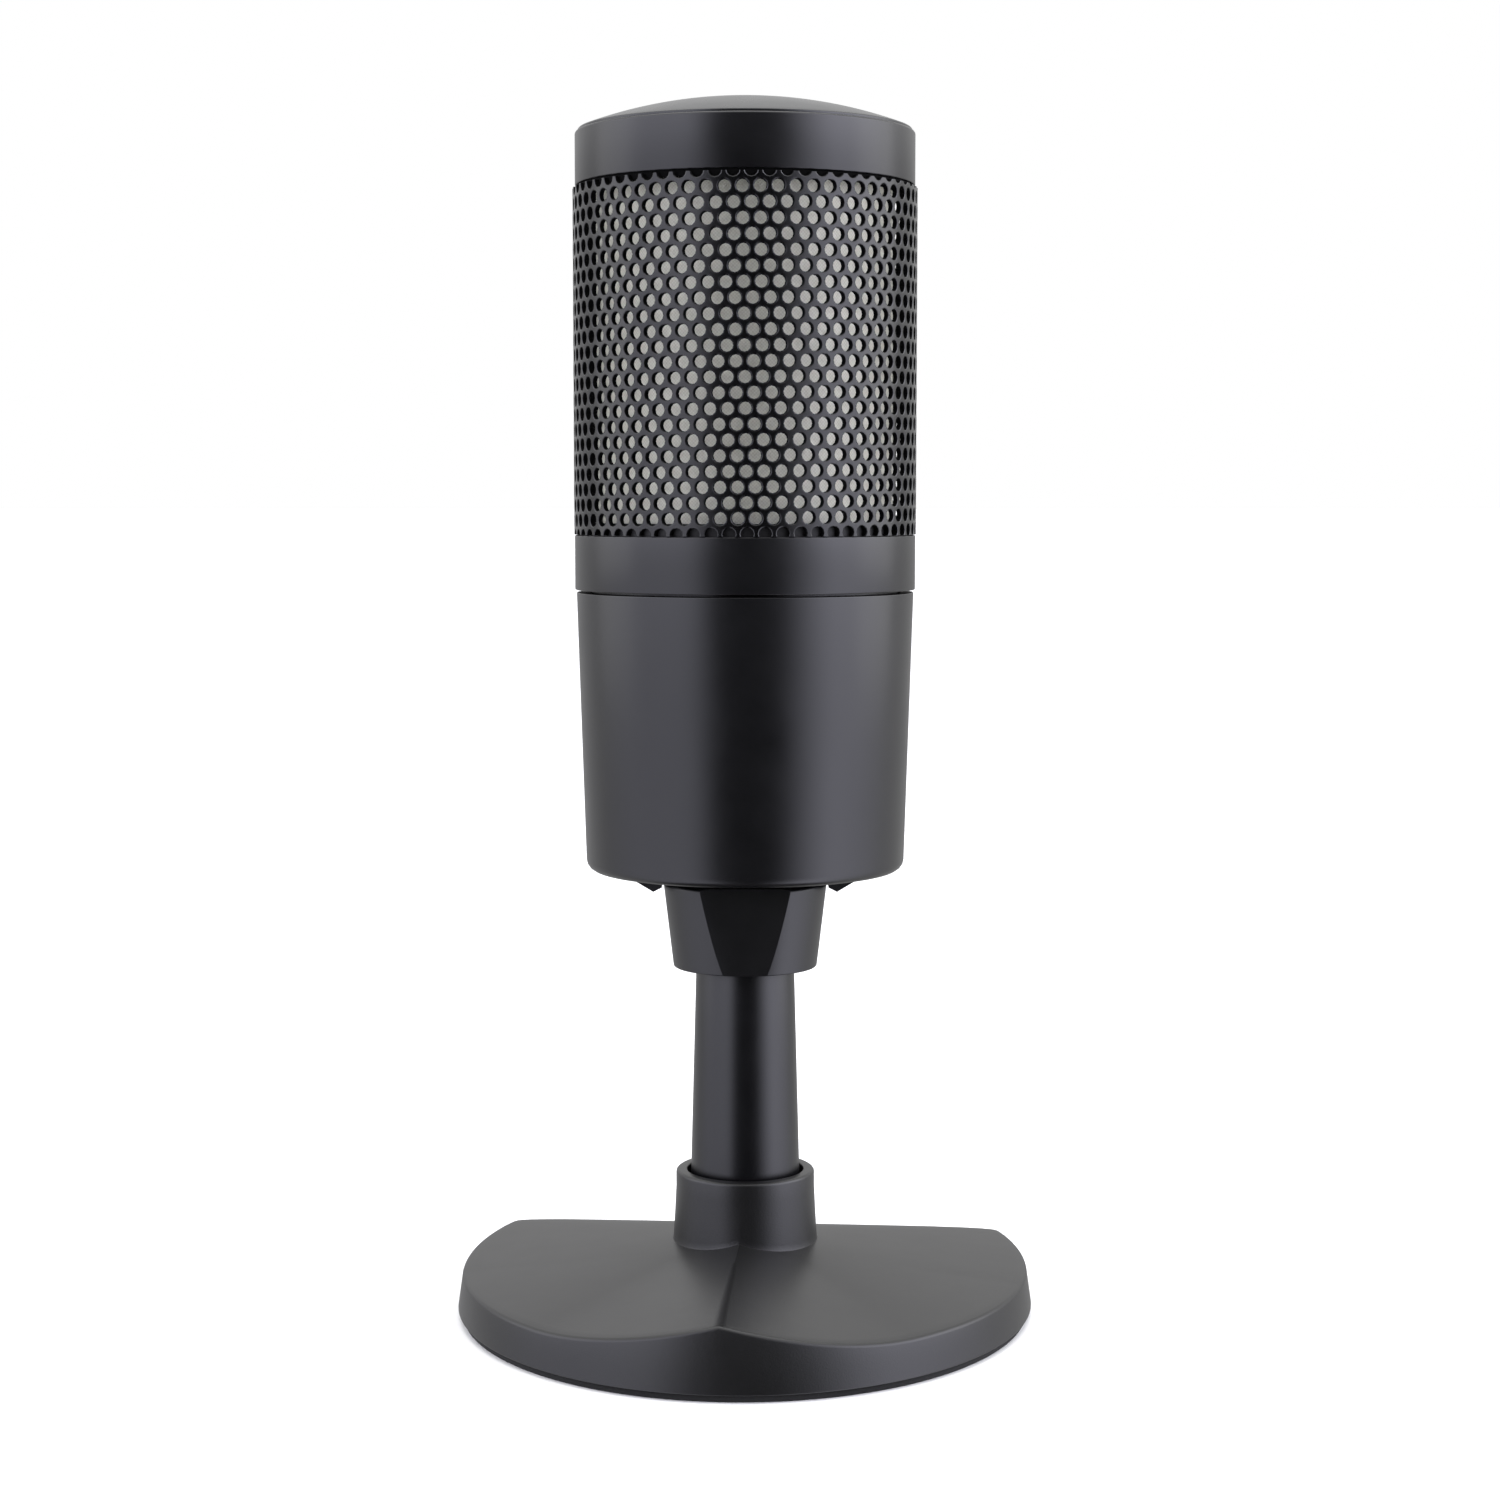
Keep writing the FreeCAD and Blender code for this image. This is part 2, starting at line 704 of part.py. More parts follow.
def make_boards():
    half = size.board_thickness / 2
    foot = size.floor_level + size.floor_thickness
    board_top = size.body_seam_level + 1.0
    notch = block("board_notch", [(-5.2, 5.2), (-3, 3), (foot - 1, foot + 0.3)])
    plate = block("board_plate", [(-18.6, 18.6), (-half, half), (foot + 0.1, board_top)])
    node(without("main_board", plate, [notch]), "main_board")

    chips = []
    for name, x, z, wide, high in (("codec", 7.0, 104.0, 5.0, 5.0), ("bridge", -7.0, 98.0, 7.0, 7.0),
                                   ("memory", 8.0, 92.0, 4.0, 5.0)):
        chips.append(block(name, [(x - wide / 2, x + wide / 2), (-half - 1.0, -half),
                                  (z - high / 2, z + high / 2)]))
    group("board_chips", chips)

    back = size.control_board_back
    front = back + size.board_thickness
    node(block("control_board", [(-8.5, 8.5), (back, front), (88, 117)]), "control_board")
    spacers = [
        rod("spacer_%d" % index, 1.6, back - half, (x, half, z), "y")
        for index, (x, z) in enumerate(((-6.5, 90), (6.5, 90), (-6.5, 115), (6.5, 115)))
    ]
    group("board_spacers", spacers)

    usb_low = size.floor_level - 0.2
    usb_top = size.floor_level + 7.2
    shell = block("usb_outer", [(-4.5, 4.5), (-19.4, -16.2), (usb_low, usb_top)])
    mouth = block("usb_mouth", [(-4.2, 4.2), (-19.1, -16.5), (usb_low - 1, usb_top - 0.6)])
    tongue = block("usb_tongue", [(-3.3, 3.3), (-18.15, -17.45), (usb_low + 0.8, usb_top - 0.3)])
    node(fused("usb_socket", [without("usb_shell", shell, [mouth]), tongue]), "usb_socket")
    node(block("usb_board", [
        (-9.0, 9.0), (-20.6, -10.0), (usb_top, usb_top + size.board_thickness)]), "usb_board")


def make_controls():
    """The gain knob with its control, the mute button with its switch, and the status light."""
    face = size.control_board_back + size.board_thickness
    level = size.knob_level
    case = block("gain_case", [(-5.0, 5.0), (face, face + 4.5), (level - 5.0, level + 5.0)])
    node(without("gain_control", case, [
        rod("gain_case_bore", size.shaft_radius + 0.05, 3.6, (0, face + 1.0, level), "y")]), "gain_control")
    node(rod("gain_shaft", size.shaft_radius, size.knob_face - 2.0 - face - 1.2,
             (0, face + 1.2, level), "y"), "gain_shaft")
    knob = rod("knob_blank", size.knob_radius, size.knob_face - size.knob_back,
               (0, size.knob_back, level), "y")
    bore = rod("knob_bore", size.shaft_radius, size.knob_face - 2.0 - size.knob_back,
               (0, size.knob_back, level), "y")
    mark = block("knob_mark", [(-0.4, 0.4), (size.knob_face - 0.5, size.knob_face + 1),
                               (level + 2.5, level + 6.4)])
    node(without("gain_knob", knob, [bore, mark]), "gain_knob")

    level = size.button_level
    cap_length = size.button_face - size.button_back
    node(fused("mute_button", [
        rod("button_cap", size.button_radius, cap_length, (0, size.button_back, level), "y"),
        rod("button_flange", size.button_radius + size.flange_width, size.flange_thickness,
            (0, size.flange_back, level), "y"),
    ]), "mute_button")
    node(fused("mute_switch", [
        block("switch_case", [(-3.1, 3.1), (face, face + 3.6), (level - 3.1, level + 3.1)]),
        rod("switch_plunger", 1.6, 2.0, (0, face + 3.5, level), "y"),
    ]), "mute_switch")
    level = size.light_level
    lens_length = size.light_face - size.light_back
    node(rod("status_lens", size.light_radius, lens_length, (0, size.light_back, level), "y"),
         "status_lens")
    node(block("status_led", [(-1.0, 1.0), (face, face + 1.2), (level - 0.8, level + 0.8)]), "status_led")


def make_head_shells():
    foot = size.body_seam_level + size.seam_gap
    top = size.band_top_level
    ledge = top - size.band_ledge_drop
    inside = size.band_radius - size.band_wall
    plug_foot = foot - size.plug_depth
    band = turned("head_band", [
        (size.band_radius, foot), (size.band_radius, top), (inside, top), (inside, ledge),
        (size.plug_inner_radius, ledge), (size.plug_inner_radius, plug_foot),
        (size.plug_radius, plug_foot), (size.plug_radius, foot),
    ])
    node(band, "head_band")

    sheet_inner = size.grille_radius - size.grille_sheet
    node(turned("grille_sleeve", [
        (sheet_inner, top), (size.grille_radius, top),
        (size.grille_radius, size.ring_foot_level), (sheet_inner, size.ring_foot_level),
    ]), "grille_sleeve")

    seat_floor = ledge + 2.0
    seat_wall = size.gauze_radius + size.slack
    seat_side = inside - size.slack
    sleeve_fit = sheet_inner - size.slack * 2
    wire_way = 4.0
    node(turned("gauze_seat", [
        (wire_way, ledge), (seat_side, ledge), (seat_side, top), (sleeve_fit, top),
        (sleeve_fit, size.seat_top_level), (seat_wall, size.seat_top_level), (seat_wall, seat_floor),
        (wire_way, seat_floor),
    ]), "gauze_seat")

    gauze_inner = size.gauze_radius - size.gauze_sheet
    gauze_top = size.ring_spigot_level + 5.0
    node(turned("wire_gauze", [
        (gauze_inner, seat_floor), (size.gauze_radius, seat_floor),
        (size.gauze_radius, gauze_top), (gauze_inner, gauze_top),
    ]), "wire_gauze")

    ring_top = size.ring_top_level
    seat = ring_top - size.dome_seat_depth
    ring = turned("top_ring", [
        (size.ring_radius, size.ring_foot_level), (size.ring_radius, ring_top),
        (size.dome_seat_radius, ring_top), (size.dome_seat_radius, seat), (seat_wall, seat),
        (seat_wall, size.ring_spigot_level), (sleeve_fit, size.ring_spigot_level),
        (sleeve_fit, size.ring_foot_level),
    ])
    rounded(ring, "top_ring_rim", size.ring_rim, [(size.ring_radius, ring_top)])
    node(ring, "top_ring")


def make_dome():
    """A shallow spherical cap with a spigot that plugs into the ring."""
    rise = size.crown_level - size.dome_edge_level
    ball_radius = (size.dome_radius * size.dome_radius + rise * rise) / (rise * 2)
    ball = doc.addObject("Part::Sphere", "dome_ball")
    bind(ball, "Radius", ball_radius)
    put(ball, (0, 0, size.crown_level - ball_radius))
    edge = size.ring_top_level
    cap = doc.addObject("Part::Common", "dome_cap")
    cap.Base = ball
    cap.Tool = rod("dome_plan", size.dome_radius, 10, (0, 0, edge))
    hollow_ball = doc.addObject("Part::Sphere", "dome_hollow_ball")
    bind(hollow_ball, "Radius", ball_radius - size.dome_wall)
    put(hollow_ball, (0, 0, size.crown_level - ball_radius))
    hollow = doc.addObject("Part::Common", "dome_hollow")
    hollow.Base = hollow_ball
    hollow.Tool = rod("dome_bore", size.dome_bore_radius, 12, (0, 0, edge - 4))
    depth = size.dome_plug_depth
    spigot = rod("dome_spigot", size.dome_plug_radius, depth + 0.5, (0, 0, edge - depth))
    node(without("top_dome", fused("dome_blank", [cap, spigot]), [hollow]), "top_dome")


def make_capsule():
    """The capsule looks along +Y from a rubber ring in a two-legged bracket."""
    level = size.capsule_level
    depth = size.capsule_depth
    back = depth / -2
    case = rod("capsule_case", size.capsule_radius, depth, (0, back, level), "y")
    well = rod("capsule_well", size.capsule_radius - 0.8, 1.5, (0, depth / 2 - 1.2, level), "y")
    node(without("capsule_body", case, [well]), "capsule_body")
    node(rod("diaphragm", size.capsule_radius - 0.9, 0.2, (0, depth / 2 - 1.2, level), "y"), "diaphragm")

    grip = rod("rubber_disc", size.rubber_radius, 6.0, (0, -3.0, level), "y")
    hole = rod("rubber_bore", size.capsule_radius, 10.0, (0, -5.0, level), "y")
    node(without("capsule_ring", grip, [hole]), "capsule_ring")

    foot = size.band_top_level - 2.6
    hoop = rod("bracket_hoop", size.bracket_radius, 5.0, (0, -2.5, level), "y")
    legs = [
        block("bracket_leg_%d" % side, [
            tuple(sorted((side * 9.5, side * 12.6))), (-2.5, 2.5), (foot + 1.0, level)])
        for side in (-1, 1)
    ]
    plate = rod("bracket_plate", 18.0, 2.0, (0, 0, foot))
    holes = [rod("bracket_bore", size.rubber_radius, 10.0, (0, -5.0, level), "y")]
    spots = (-15.5, 15.5)
    for index, x in enumerate(spots):
        holes.append(rod("bracket_screw_hole_%d" % index, size.screw_hole_radius, 6, (x, 0, foot - 2)))
    node(without("capsule_bracket", fused("bracket_frame", [hoop, plate] + legs), holes),
         "capsule_bracket")
    screws = [
        screw("capsule_screw_%d" % index, (x, 0, foot + 2.0), 2.0, up=False)
        for index, x in enumerate(spots)
    ]
    group("capsule_screws", screws)


def check_and_write():
    doc.recompute()
    for feature in doc.Objects:
        if "Invalid" in feature.State or "Error" in feature.State:
            raise RuntimeError("%s did not build: %s" % (feature.Name, feature.State))
    os.makedirs("parts", exist_ok=True)
    for feature in NODES:
        shape = feature.Shape
        if shape.isNull() or not shape.isValid() or not shape.Solids:
            raise RuntimeError("%s has no sound shape" % feature.Label)
        shape.exportStep("parts/%s.step" % feature.Label)
        box = shape.BoundBox
        print("%-18s %2d solid(s) %9.1f mm3  z %6.2f to %6.2f" % (
            feature.Label, len(shape.Solids), shape.Volume, box.ZMin, box.ZMax))


make_base()
make_stem()
make_collar()
make_tilt_bracket()
make_housing()
make_chassis()
make_boards()
make_controls()
make_head_shells()
make_dome()
make_capsule()
check_and_write()
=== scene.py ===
import math

import bmesh
import bpy
from mathutils import Matrix, Vector


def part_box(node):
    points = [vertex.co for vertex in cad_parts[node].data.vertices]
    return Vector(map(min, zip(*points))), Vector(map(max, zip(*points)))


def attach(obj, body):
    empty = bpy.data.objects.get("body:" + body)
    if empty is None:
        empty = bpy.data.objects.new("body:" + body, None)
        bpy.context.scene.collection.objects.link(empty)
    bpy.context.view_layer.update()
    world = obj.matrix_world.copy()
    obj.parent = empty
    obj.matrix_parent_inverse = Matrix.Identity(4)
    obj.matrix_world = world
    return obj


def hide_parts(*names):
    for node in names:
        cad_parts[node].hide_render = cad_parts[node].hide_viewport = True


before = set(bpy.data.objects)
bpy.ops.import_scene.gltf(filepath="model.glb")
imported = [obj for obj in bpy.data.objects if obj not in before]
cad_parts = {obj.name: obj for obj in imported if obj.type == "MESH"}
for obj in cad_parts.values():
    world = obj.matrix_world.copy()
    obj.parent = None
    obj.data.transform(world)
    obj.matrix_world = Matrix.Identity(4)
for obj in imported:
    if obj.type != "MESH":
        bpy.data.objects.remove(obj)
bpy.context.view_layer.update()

mm = 0.001
wholeTurn = 2 * math.pi


def lowLevel(node):
    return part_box(node)[0][2]


def highLevel(node):
    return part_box(node)[1][2]


def widest(node):
    low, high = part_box(node)
    return (high[0] - low[0]) / 2


cameraValues = {"lens": 67.2, "distance": 461.2 * mm, "height": 135.3 * mm, "aside": 0.8 * mm, "dip": 5.163}


def makeCamera(values):
    data = bpy.data.cameras.new("studioCamera")
    data.lens = values["lens"]
    data.sensor_width = 36
    camera = bpy.data.objects.new("studioCamera", data)
    camera.location = (values["aside"], -values["distance"], values["height"])
    camera.rotation_euler = (math.radians(90 - values["dip"]), 0, 0)
    bpy.context.scene.collection.objects.link(camera)
    bpy.context.scene.camera = camera


makeCamera(cameraValues)
print("camera placed")


def linear(hexColour):
    parts = [int(hexColour[i:i + 2], 16) / 255 for i in (1, 3, 5)]
    return [c / 12.92 if c <= 0.04045 else ((c + 0.055) / 1.055) ** 2.4 for c in parts] + [1.0]


def addNode(tree, kind, settings=None, inputs=None):
    # one node with its settings, its plain input values and its links
    made = tree.nodes.new(kind)
    for name, value in (settings or {}).items():
        setattr(made, name, value)
    for name, value in (inputs or {}).items():
        if isinstance(value, bpy.types.NodeSocket):
            tree.links.new(value, made.inputs[name])
        else:
            made.inputs[name].default_value = value
    return made


def startMaterial(name, values):
    # a Principled shader with its uniform values on its own sockets
    material = bpy.data.materials.new(name)
    material.use_nodes = True
    tree = material.node_tree
    shader = next(n for n in tree.nodes if n.type == "BSDF_PRINCIPLED")
    for socket, value in values.items():
        shader.inputs[socket].default_value = linear(value) if isinstance(value, str) else value
    material.diffuse_color = shader.inputs["Base Color"].default_value
    return material, tree, shader


def objectPoint(tree):
    return addNode(tree, "ShaderNodeTexCoord").outputs["Object"]


def grain(tree, point, size, detail=3.0):
    # noise whose blotches are about size metres across
    return addNode(tree, "ShaderNodeTexNoise", None,
                   {"Vector": point, "Scale": 1 / size, "Detail": detail, "Roughness": 0.6}).outputs["Fac"]


def spread(tree, value, low, high, fromLow=0.3, fromHigh=0.7):
    return addNode(tree, "ShaderNodeMapRange", None,
                   {"Value": value, "From Min": fromLow, "From Max": fromHigh,
                    "To Min": low, "To Max": high}).outputs["Result"]


def calculate(tree, operation, *values):
    return addNode(tree, "ShaderNodeMath", {"operation": operation}, dict(enumerate(values))).outputs[0]


def blendColours(tree, share, first, second):
    made = addNode(tree, "ShaderNodeMix", {"data_type": "RGBA"})
    tree.links.new(share, made.inputs[0])
    made.inputs[6].default_value = linear(first)
    made.inputs[7].default_value = linear(second)
    return made.outputs[2]


def setBump(tree, shader, height, depth):
    bump = addNode(tree, "ShaderNodeBump", None,
                   {"Height": height, "Distance": depth, "Strength": 1.0})
    tree.links.new(bump.outputs["Normal"], shader.inputs["Normal"])


def texturedFinish(name, looks):
    # a coat or a moulding: fine grain in the surface, slow drift in gloss and a little in colour
    material, tree, shader = startMaterial(name, {
        "Base Color": looks["colour"], "Roughness": looks["rough"], "Metallic": looks.get("metal", 0.0),
        "Specular IOR Level": looks.get("gloss", 0.5)})
    point = objectPoint(tree)
    fine = grain(tree, point, looks["grain"])
    slow = grain(tree, point, looks.get("drift", 9 * mm), 4.0)
    tree.links.new(spread(tree, slow, looks["rough"] - looks["roughDrift"],
                          looks["rough"] + looks["roughDrift"]), shader.inputs["Roughness"])
    colour = blendColours(tree, spread(tree, slow, 0.0, 1.0), looks["colour"], looks["colourDrift"])
    tree.links.new(colour, shader.inputs["Base Color"])
    setBump(tree, shader, fine, looks["depth"])
    return material


finishes = {
    # powder-coated aluminium tube: satin black with a fine even peel, so lights spread into soft bands
    "powderCoatSatinBlack": {"colour": "#08080a", "colourDrift": "#0b0b0d", "rough": 0.30,
                             "roughDrift": 0.025, "grain": 0.32 * mm, "depth": 0.004 * mm},
    # the same coat on the pressed cap, a little smoother, so its edge mirrors more of the room
    "powderCoatPressedCap": {"colour": "#101113", "colourDrift": "#131417", "rough": 0.28,
                             "roughDrift": 0.02, "grain": 0.4 * mm, "depth": 0.003 * mm},
    # spray-painted perforated steel: thin paint, crisp bright rims round the holes
    "sprayPaintPerforatedSteel": {"colour": "#040405", "colourDrift": "#060607", "rough": 0.22,
                                  "roughDrift": 0.02, "grain": 0.25 * mm, "depth": 0.002 * mm},
    # the same paint inside the holes and behind the sheet: thin, dry and dead matt
    "sprayPaintDryInside": {"colour": "#030303", "colourDrift": "#050505", "rough": 0.9, "gloss": 0.1,
                            "roughDrift": 0.03, "grain": 0.2 * mm, "depth": 0.004 * mm},
    # fine-textured ABS moulding of the collar: black with an even satin sheen
    "absFineSatin": {"colour": "#09090a", "colourDrift": "#0c0c0d", "rough": 0.36,
                     "roughDrift": 0.03, "grain": 0.22 * mm, "depth": 0.006 * mm},
    # spark-textured ABS moulding of the base: grey-black, its fine pebble spreading reflections softly
    "absSparkTexture": {"colour": "#121212", "colourDrift": "#141414", "rough": 0.34,
                        "roughDrift": 0.012, "gloss": 0.48, "grain": 0.28 * mm, "depth": 0.018 * mm},
    # closed-cell rubber sheet: dead matt black, rough like an open-pored cut face
    "rubberSheetCut": {"colour": "#111111", "colourDrift": "#191918", "rough": 0.9,
                       "roughDrift": 0.04, "grain": 0.3 * mm, "depth": 0.05 * mm},
    # plain moulded ABS inside the body: dull black, no clear reflections
    "absMouldedInner": {"colour": "#0b0b0b", "colourDrift": "#0e0e0e", "rough": 0.6,
                        "roughDrift": 0.05, "grain": 0.5 * mm, "depth": 0.01 * mm},
    # black-oxide steel of the bracket and the plate: near black, patchy in gloss
    "blackOxideSteel": {"colour": "#141415", "colourDrift": "#1d1d1f", "rough": 0.45,
                        "roughDrift": 0.08, "grain": 0.2 * mm, "depth": 0.004 * mm},
    # zinc-plated steel of the screws, pin and socket shell: bright cool grey, slightly cloudy
    "zincPlatedSteel": {"colour": "#b9babc", "colourDrift": "#a3a5a8", "rough": 0.3, "metal": 1.0,
                        "roughDrift": 0.08, "grain": 0.15 * mm, "depth": 0.003 * mm},
    # sand-cast iron of the weight: coarse, dull dark grey skin
    "castIronSkin": {"colour": "#4a4a4b", "colourDrift": "#3a3938", "rough": 0.7, "metal": 0.6,
                     "roughDrift": 0.1, "grain": 0.6 * mm, "depth": 0.08 * mm},
    # turned brass of the capsule, spacers and shaft: warm yellow with fairly sharp highlights
    "brassTurned": {"colour": "#c9a45a", "colourDrift": "#b48f48", "rough": 0.28, "metal": 1.0,
                    "roughDrift": 0.06, "grain": 0.12 * mm, "depth": 0.002 * mm},
    # gold-sputtered film of the diaphragm: paler and glossier than the brass
    "goldSputteredFilm": {"colour": "#dcb768", "colourDrift": "#e6c57c", "rough": 0.18, "metal": 1.0,
                          "roughDrift": 0.04, "grain": 0.5 * mm, "depth": 0.002 * mm},
    # natural nylon of the washers: milky off-white with a waxy sheen
    "nylonNatural": {"colour": "#d8d6cb", "colourDrift": "#cfcdc0", "rough": 0.45,
                     "roughDrift": 0.05, "grain": 0.3 * mm, "depth": 0.004 * mm},
    # epoxy packages of the chips and the control's case: near black, dull
    "epoxyPackage": {"colour": "#161616", "colourDrift": "#1c1c1c", "rough": 0.55,
                     "roughDrift": 0.05, "grain": 0.1 * mm, "depth": 0.004 * mm},
    # solder mask over a glass board: dark green, half gloss, the copper's slow relief under it
    "solderMaskBoard": {"colour": "#0f3d24", "colourDrift": "#14502f", "rough": 0.35,
                        "roughDrift": 0.05, "grain": 0.9 * mm, "depth": 0.02 * mm, "drift": 3 * mm},
    # smooth ABS of the knob and the button: satin black that catches a soft line along its edges
    "absSatinControl": {"colour": "#0f0f11", "colourDrift": "#131315", "rough": 0.36,
                        "roughDrift": 0.03, "grain": 0.3 * mm, "depth": 0.004 * mm},
    # white two-part ink of the knob's mark: off-white and flat
    "padPrintInk": {"colour": "#e8e8e4", "colourDrift": "#dededa", "rough": 0.6,
                    "roughDrift": 0.05, "grain": 0.1 * mm, "depth": 0.003 * mm},
}

materials = {name: texturedFinish(name, looks) for name, looks in finishes.items()}


def makeGauzeMaterial(values):
    # plain-woven stainless wire: warm pale grey, over-and-under threads, wires drawn coarse enough to show;
    # where the weave's height is low the colour turns darker, a painted shade in the dips
    material, tree, shader = startMaterial("stainlessWireWoven", {
        "Base Color": values["wire"], "Roughness": values["rough"], "Metallic": values["metal"]})
    parts = addNode(tree, "ShaderNodeSeparateXYZ", None, {"Vector": objectPoint(tree)}).outputs
    angle = calculate(tree, "ARCTAN2", parts["X"], parts["Y"])
    turns = round(wholeTurn * values["radius"] / values["pitch"])
    across = calculate(tree, "SINE", calculate(tree, "MULTIPLY", angle, float(turns)))
    along = calculate(tree, "SINE", calculate(tree, "MULTIPLY", parts["Z"], wholeTurn / values["pitch"]))
    weave = spread(tree, calculate(tree, "MULTIPLY", across, along), 0.0, 0.6, -1.0, 1.0)
    uneven = spread(tree, grain(tree, objectPoint(tree), values["pitch"]), 0.0, 0.4)
    height = calculate(tree, "ADD", weave, uneven)
    # painted shade: the darker colour goes to the low points of the weave, the pale wire colour to its
    # crests
    tree.links.new(blendColours(tree, height, values["gap"], values["wire"]), shader.inputs["Base Color"])
    setBump(tree, shader, height, values["depth"])
    return material


# woven wire, its pitch drawn about twice as coarse as the real one so that it shows, with a darker colour
# for its low points that is painted shade
gauzeValues = {"wire": "#fffff2", "gap": "#dedccb", "rough": 0.45, "metal": 0.35, "pitch": 0.55 * mm,
               "depth": 0.06 * mm, "radius": widest("wire_gauze")}
materials["stainlessWireWoven"] = makeGauzeMaterial(gauzeValues)


def makeLensMaterial():
    # clear polycarbonate light pipe: a pale glassy dot, seen unlit
    material, tree, shader = startMaterial("polycarbonateClear", {
        "Base Color": "#dfe6df", "Roughness": 0.12, "IOR": 1.58, "Transmission Weight": 0.4})
    setBump(tree, shader, grain(tree, objectPoint(tree), 0.4 * mm), 0.003 * mm)
    return material


materials["polycarbonateClear"] = makeLensMaterial()
print("materials made:", len(materials))


def tidied(mesh):
    bmesh.ops.remove_doubles(mesh, verts=mesh.verts, dist=0.0005 * mm)
    bmesh.ops.dissolve_degenerate(mesh, dist=0.0002 * mm, edges=mesh.edges)
    bmesh.ops.recalc_face_normals(mesh, faces=mesh.faces)
    return mesh


def rounded(mesh, edges, size, segments=4):
    bmesh.ops.bevel(mesh, geom=edges, offset=size, offset_type="OFFSET", affect="EDGES", segments=segments,
                    profile=0.5, material=-1, clamp_overlap=True)


def spunMesh(corners, steps=192, closed=True):
    # turns (radius, level, rounding) corners about the upright axis, then rounds the rings
    mesh = bmesh.new()
    verts = [mesh.verts.new((radius, 0, level)) for radius, level, _ in corners]
    pairs = list(zip(verts, verts[1:])) + ([(verts[-1], verts[0])] if closed else [])
    edges = [mesh.edges.new(pair) for pair in pairs]
    bmesh.ops.spin(mesh, geom=verts + edges, cent=(0, 0, 0), axis=(0, 0, 1), angle=wholeTurn,
                   steps=steps, use_merge=True)
    tidied(mesh)
    for size in sorted({c[2] for c in corners if c[2]}, reverse=True):
        rings = [(c[0], c[1]) for c in corners if c[2] == size]
        rounded(mesh, [e for e in mesh.edges if onRing(e, rings)], size)
    return tidied(mesh)


def onRing(edge, rings):
    near = 0.002 * mm
    for radius, level in rings:
        if all(abs(v.co.z - level) < near and abs(v.co.xy.length - radius) < near for v in edge.verts):
            return True
    return False


def finishPiece(name, mesh, material, body, replaces=(), sharp=32):
    data = bpy.data.meshes.new(name)
    mesh.to_mesh(data)
    mesh.free()
    data.shade_smooth()
    data.set_sharp_from_angle(angle=math.radians(sharp))
    data.materials.append(materials[material])
    piece = bpy.data.objects.new(name, data)
    bpy.context.scene.collection.objects.link(piece)
    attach(piece, body)
    if replaces:
        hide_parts(*replaces)
    return piece


def cutAway(piece, tools, operation="DIFFERENCE"):
    # booleans with throw-away tool meshes, applied at once
    for index, tool in enumerate(tools):
        data = bpy.data.meshes.new("cutter")
        tool.to_mesh(data)
        tool.free()
        cutter = bpy.data.objects.new("cutter", data)
        bpy.context.scene.collection.objects.link(cutter)
        change = piece.modifiers.new("change%d" % index, "BOOLEAN")
        change.operation = operation
        change.solver = "EXACT"
        change.object = cutter
        bpy.context.view_layer.update()
        shaped = bpy.data.meshes.new_from_object(piece.evaluated_get(bpy.context.evaluated_depsgraph_get()))
        piece.modifiers.clear()
        old = piece.data
        piece.data = shaped
        bpy.data.meshes.remove(old)
        bpy.data.objects.remove(cutter)
    piece.data.set_sharp_from_angle(angle=math.radians(32))


def turnOf(place):
    return math.atan2(place.y, place.x)


def rod(radius, length, place, segments):
    mesh = bmesh.new()
    bmesh.ops.create_cone(mesh, cap_ends=True, segments=segments, radius1=radius, radius2=radius,
                          depth=length, matrix=place)
    return mesh


def trimmed(mesh, place, outward):
    # cuts off what lies beyond a plane and closes the cut
    everything = mesh.verts[:] + mesh.edges[:] + mesh.faces[:]
    cut = bmesh.ops.bisect_plane(mesh, geom=everything, dist=0.0001 * mm, plane_co=place, plane_no=outward,
                                 clear_outer=True)["geom_cut"]
    bmesh.ops.holes_fill(mesh, edges=[item for item in cut if isinstance(item, bmesh.types.BMEdge)])


def frontRod(radius, start, end, level):
    # a rod along +Y at a level, for the holes on the side with the controls
    place = Matrix.Translation((0, (start + end) / 2, level)) @ Matrix.Rotation(math.pi / 2, 4, "X")
    return rod(radius, end - start, place, 64)


def makeDome():
    values = {"shell": 1.6 * mm, "spigotOut": 24.9 * mm, "spigotIn": 23.2 * mm, "lip": 0.4 * mm}
    crown = highLevel("top_dome")
    radius = widest("top_dome")
    edge = highLevel("top_ring") + values["lip"]
    rise = crown - edge
    ball = (radius ** 2 + rise ** 2) / (2 * rise)

    def sphereLevel(across, size):
        return crown - ball + math.sqrt(size ** 2 - across ** 2)

    outer = [(across, sphereLevel(across, ball), 0) for across in (radius * k / 24 for k in range(24))]
    inner = [(across, sphereLevel(across, ball - values["shell"]), 0)
             for across in (values["spigotIn"] * k / 12 for k in range(12, -1, -1))]
    foot = highLevel("top_ring")
    corners = outer + [
        (radius, edge, 0.18 * mm), (radius, foot, 0), (values["spigotOut"], foot, 0),
        (values["spigotOut"], lowLevel("top_dome"), 0), (values["spigotIn"], lowLevel("top_dome"), 0),
    ] + inner
    finishPiece("topDome", spunMesh(corners, closed=False), "powderCoatPressedCap", "head",
                ["top_dome"], sharp=25)


def paintInside(piece, hidden):
    # the faces behind the perforated sheet carry only thin dry paint
    piece.data.materials.append(materials["sprayPaintDryInside"])
    for face in piece.data.polygons:
        if hidden(face.center):
            face.material_index = 1


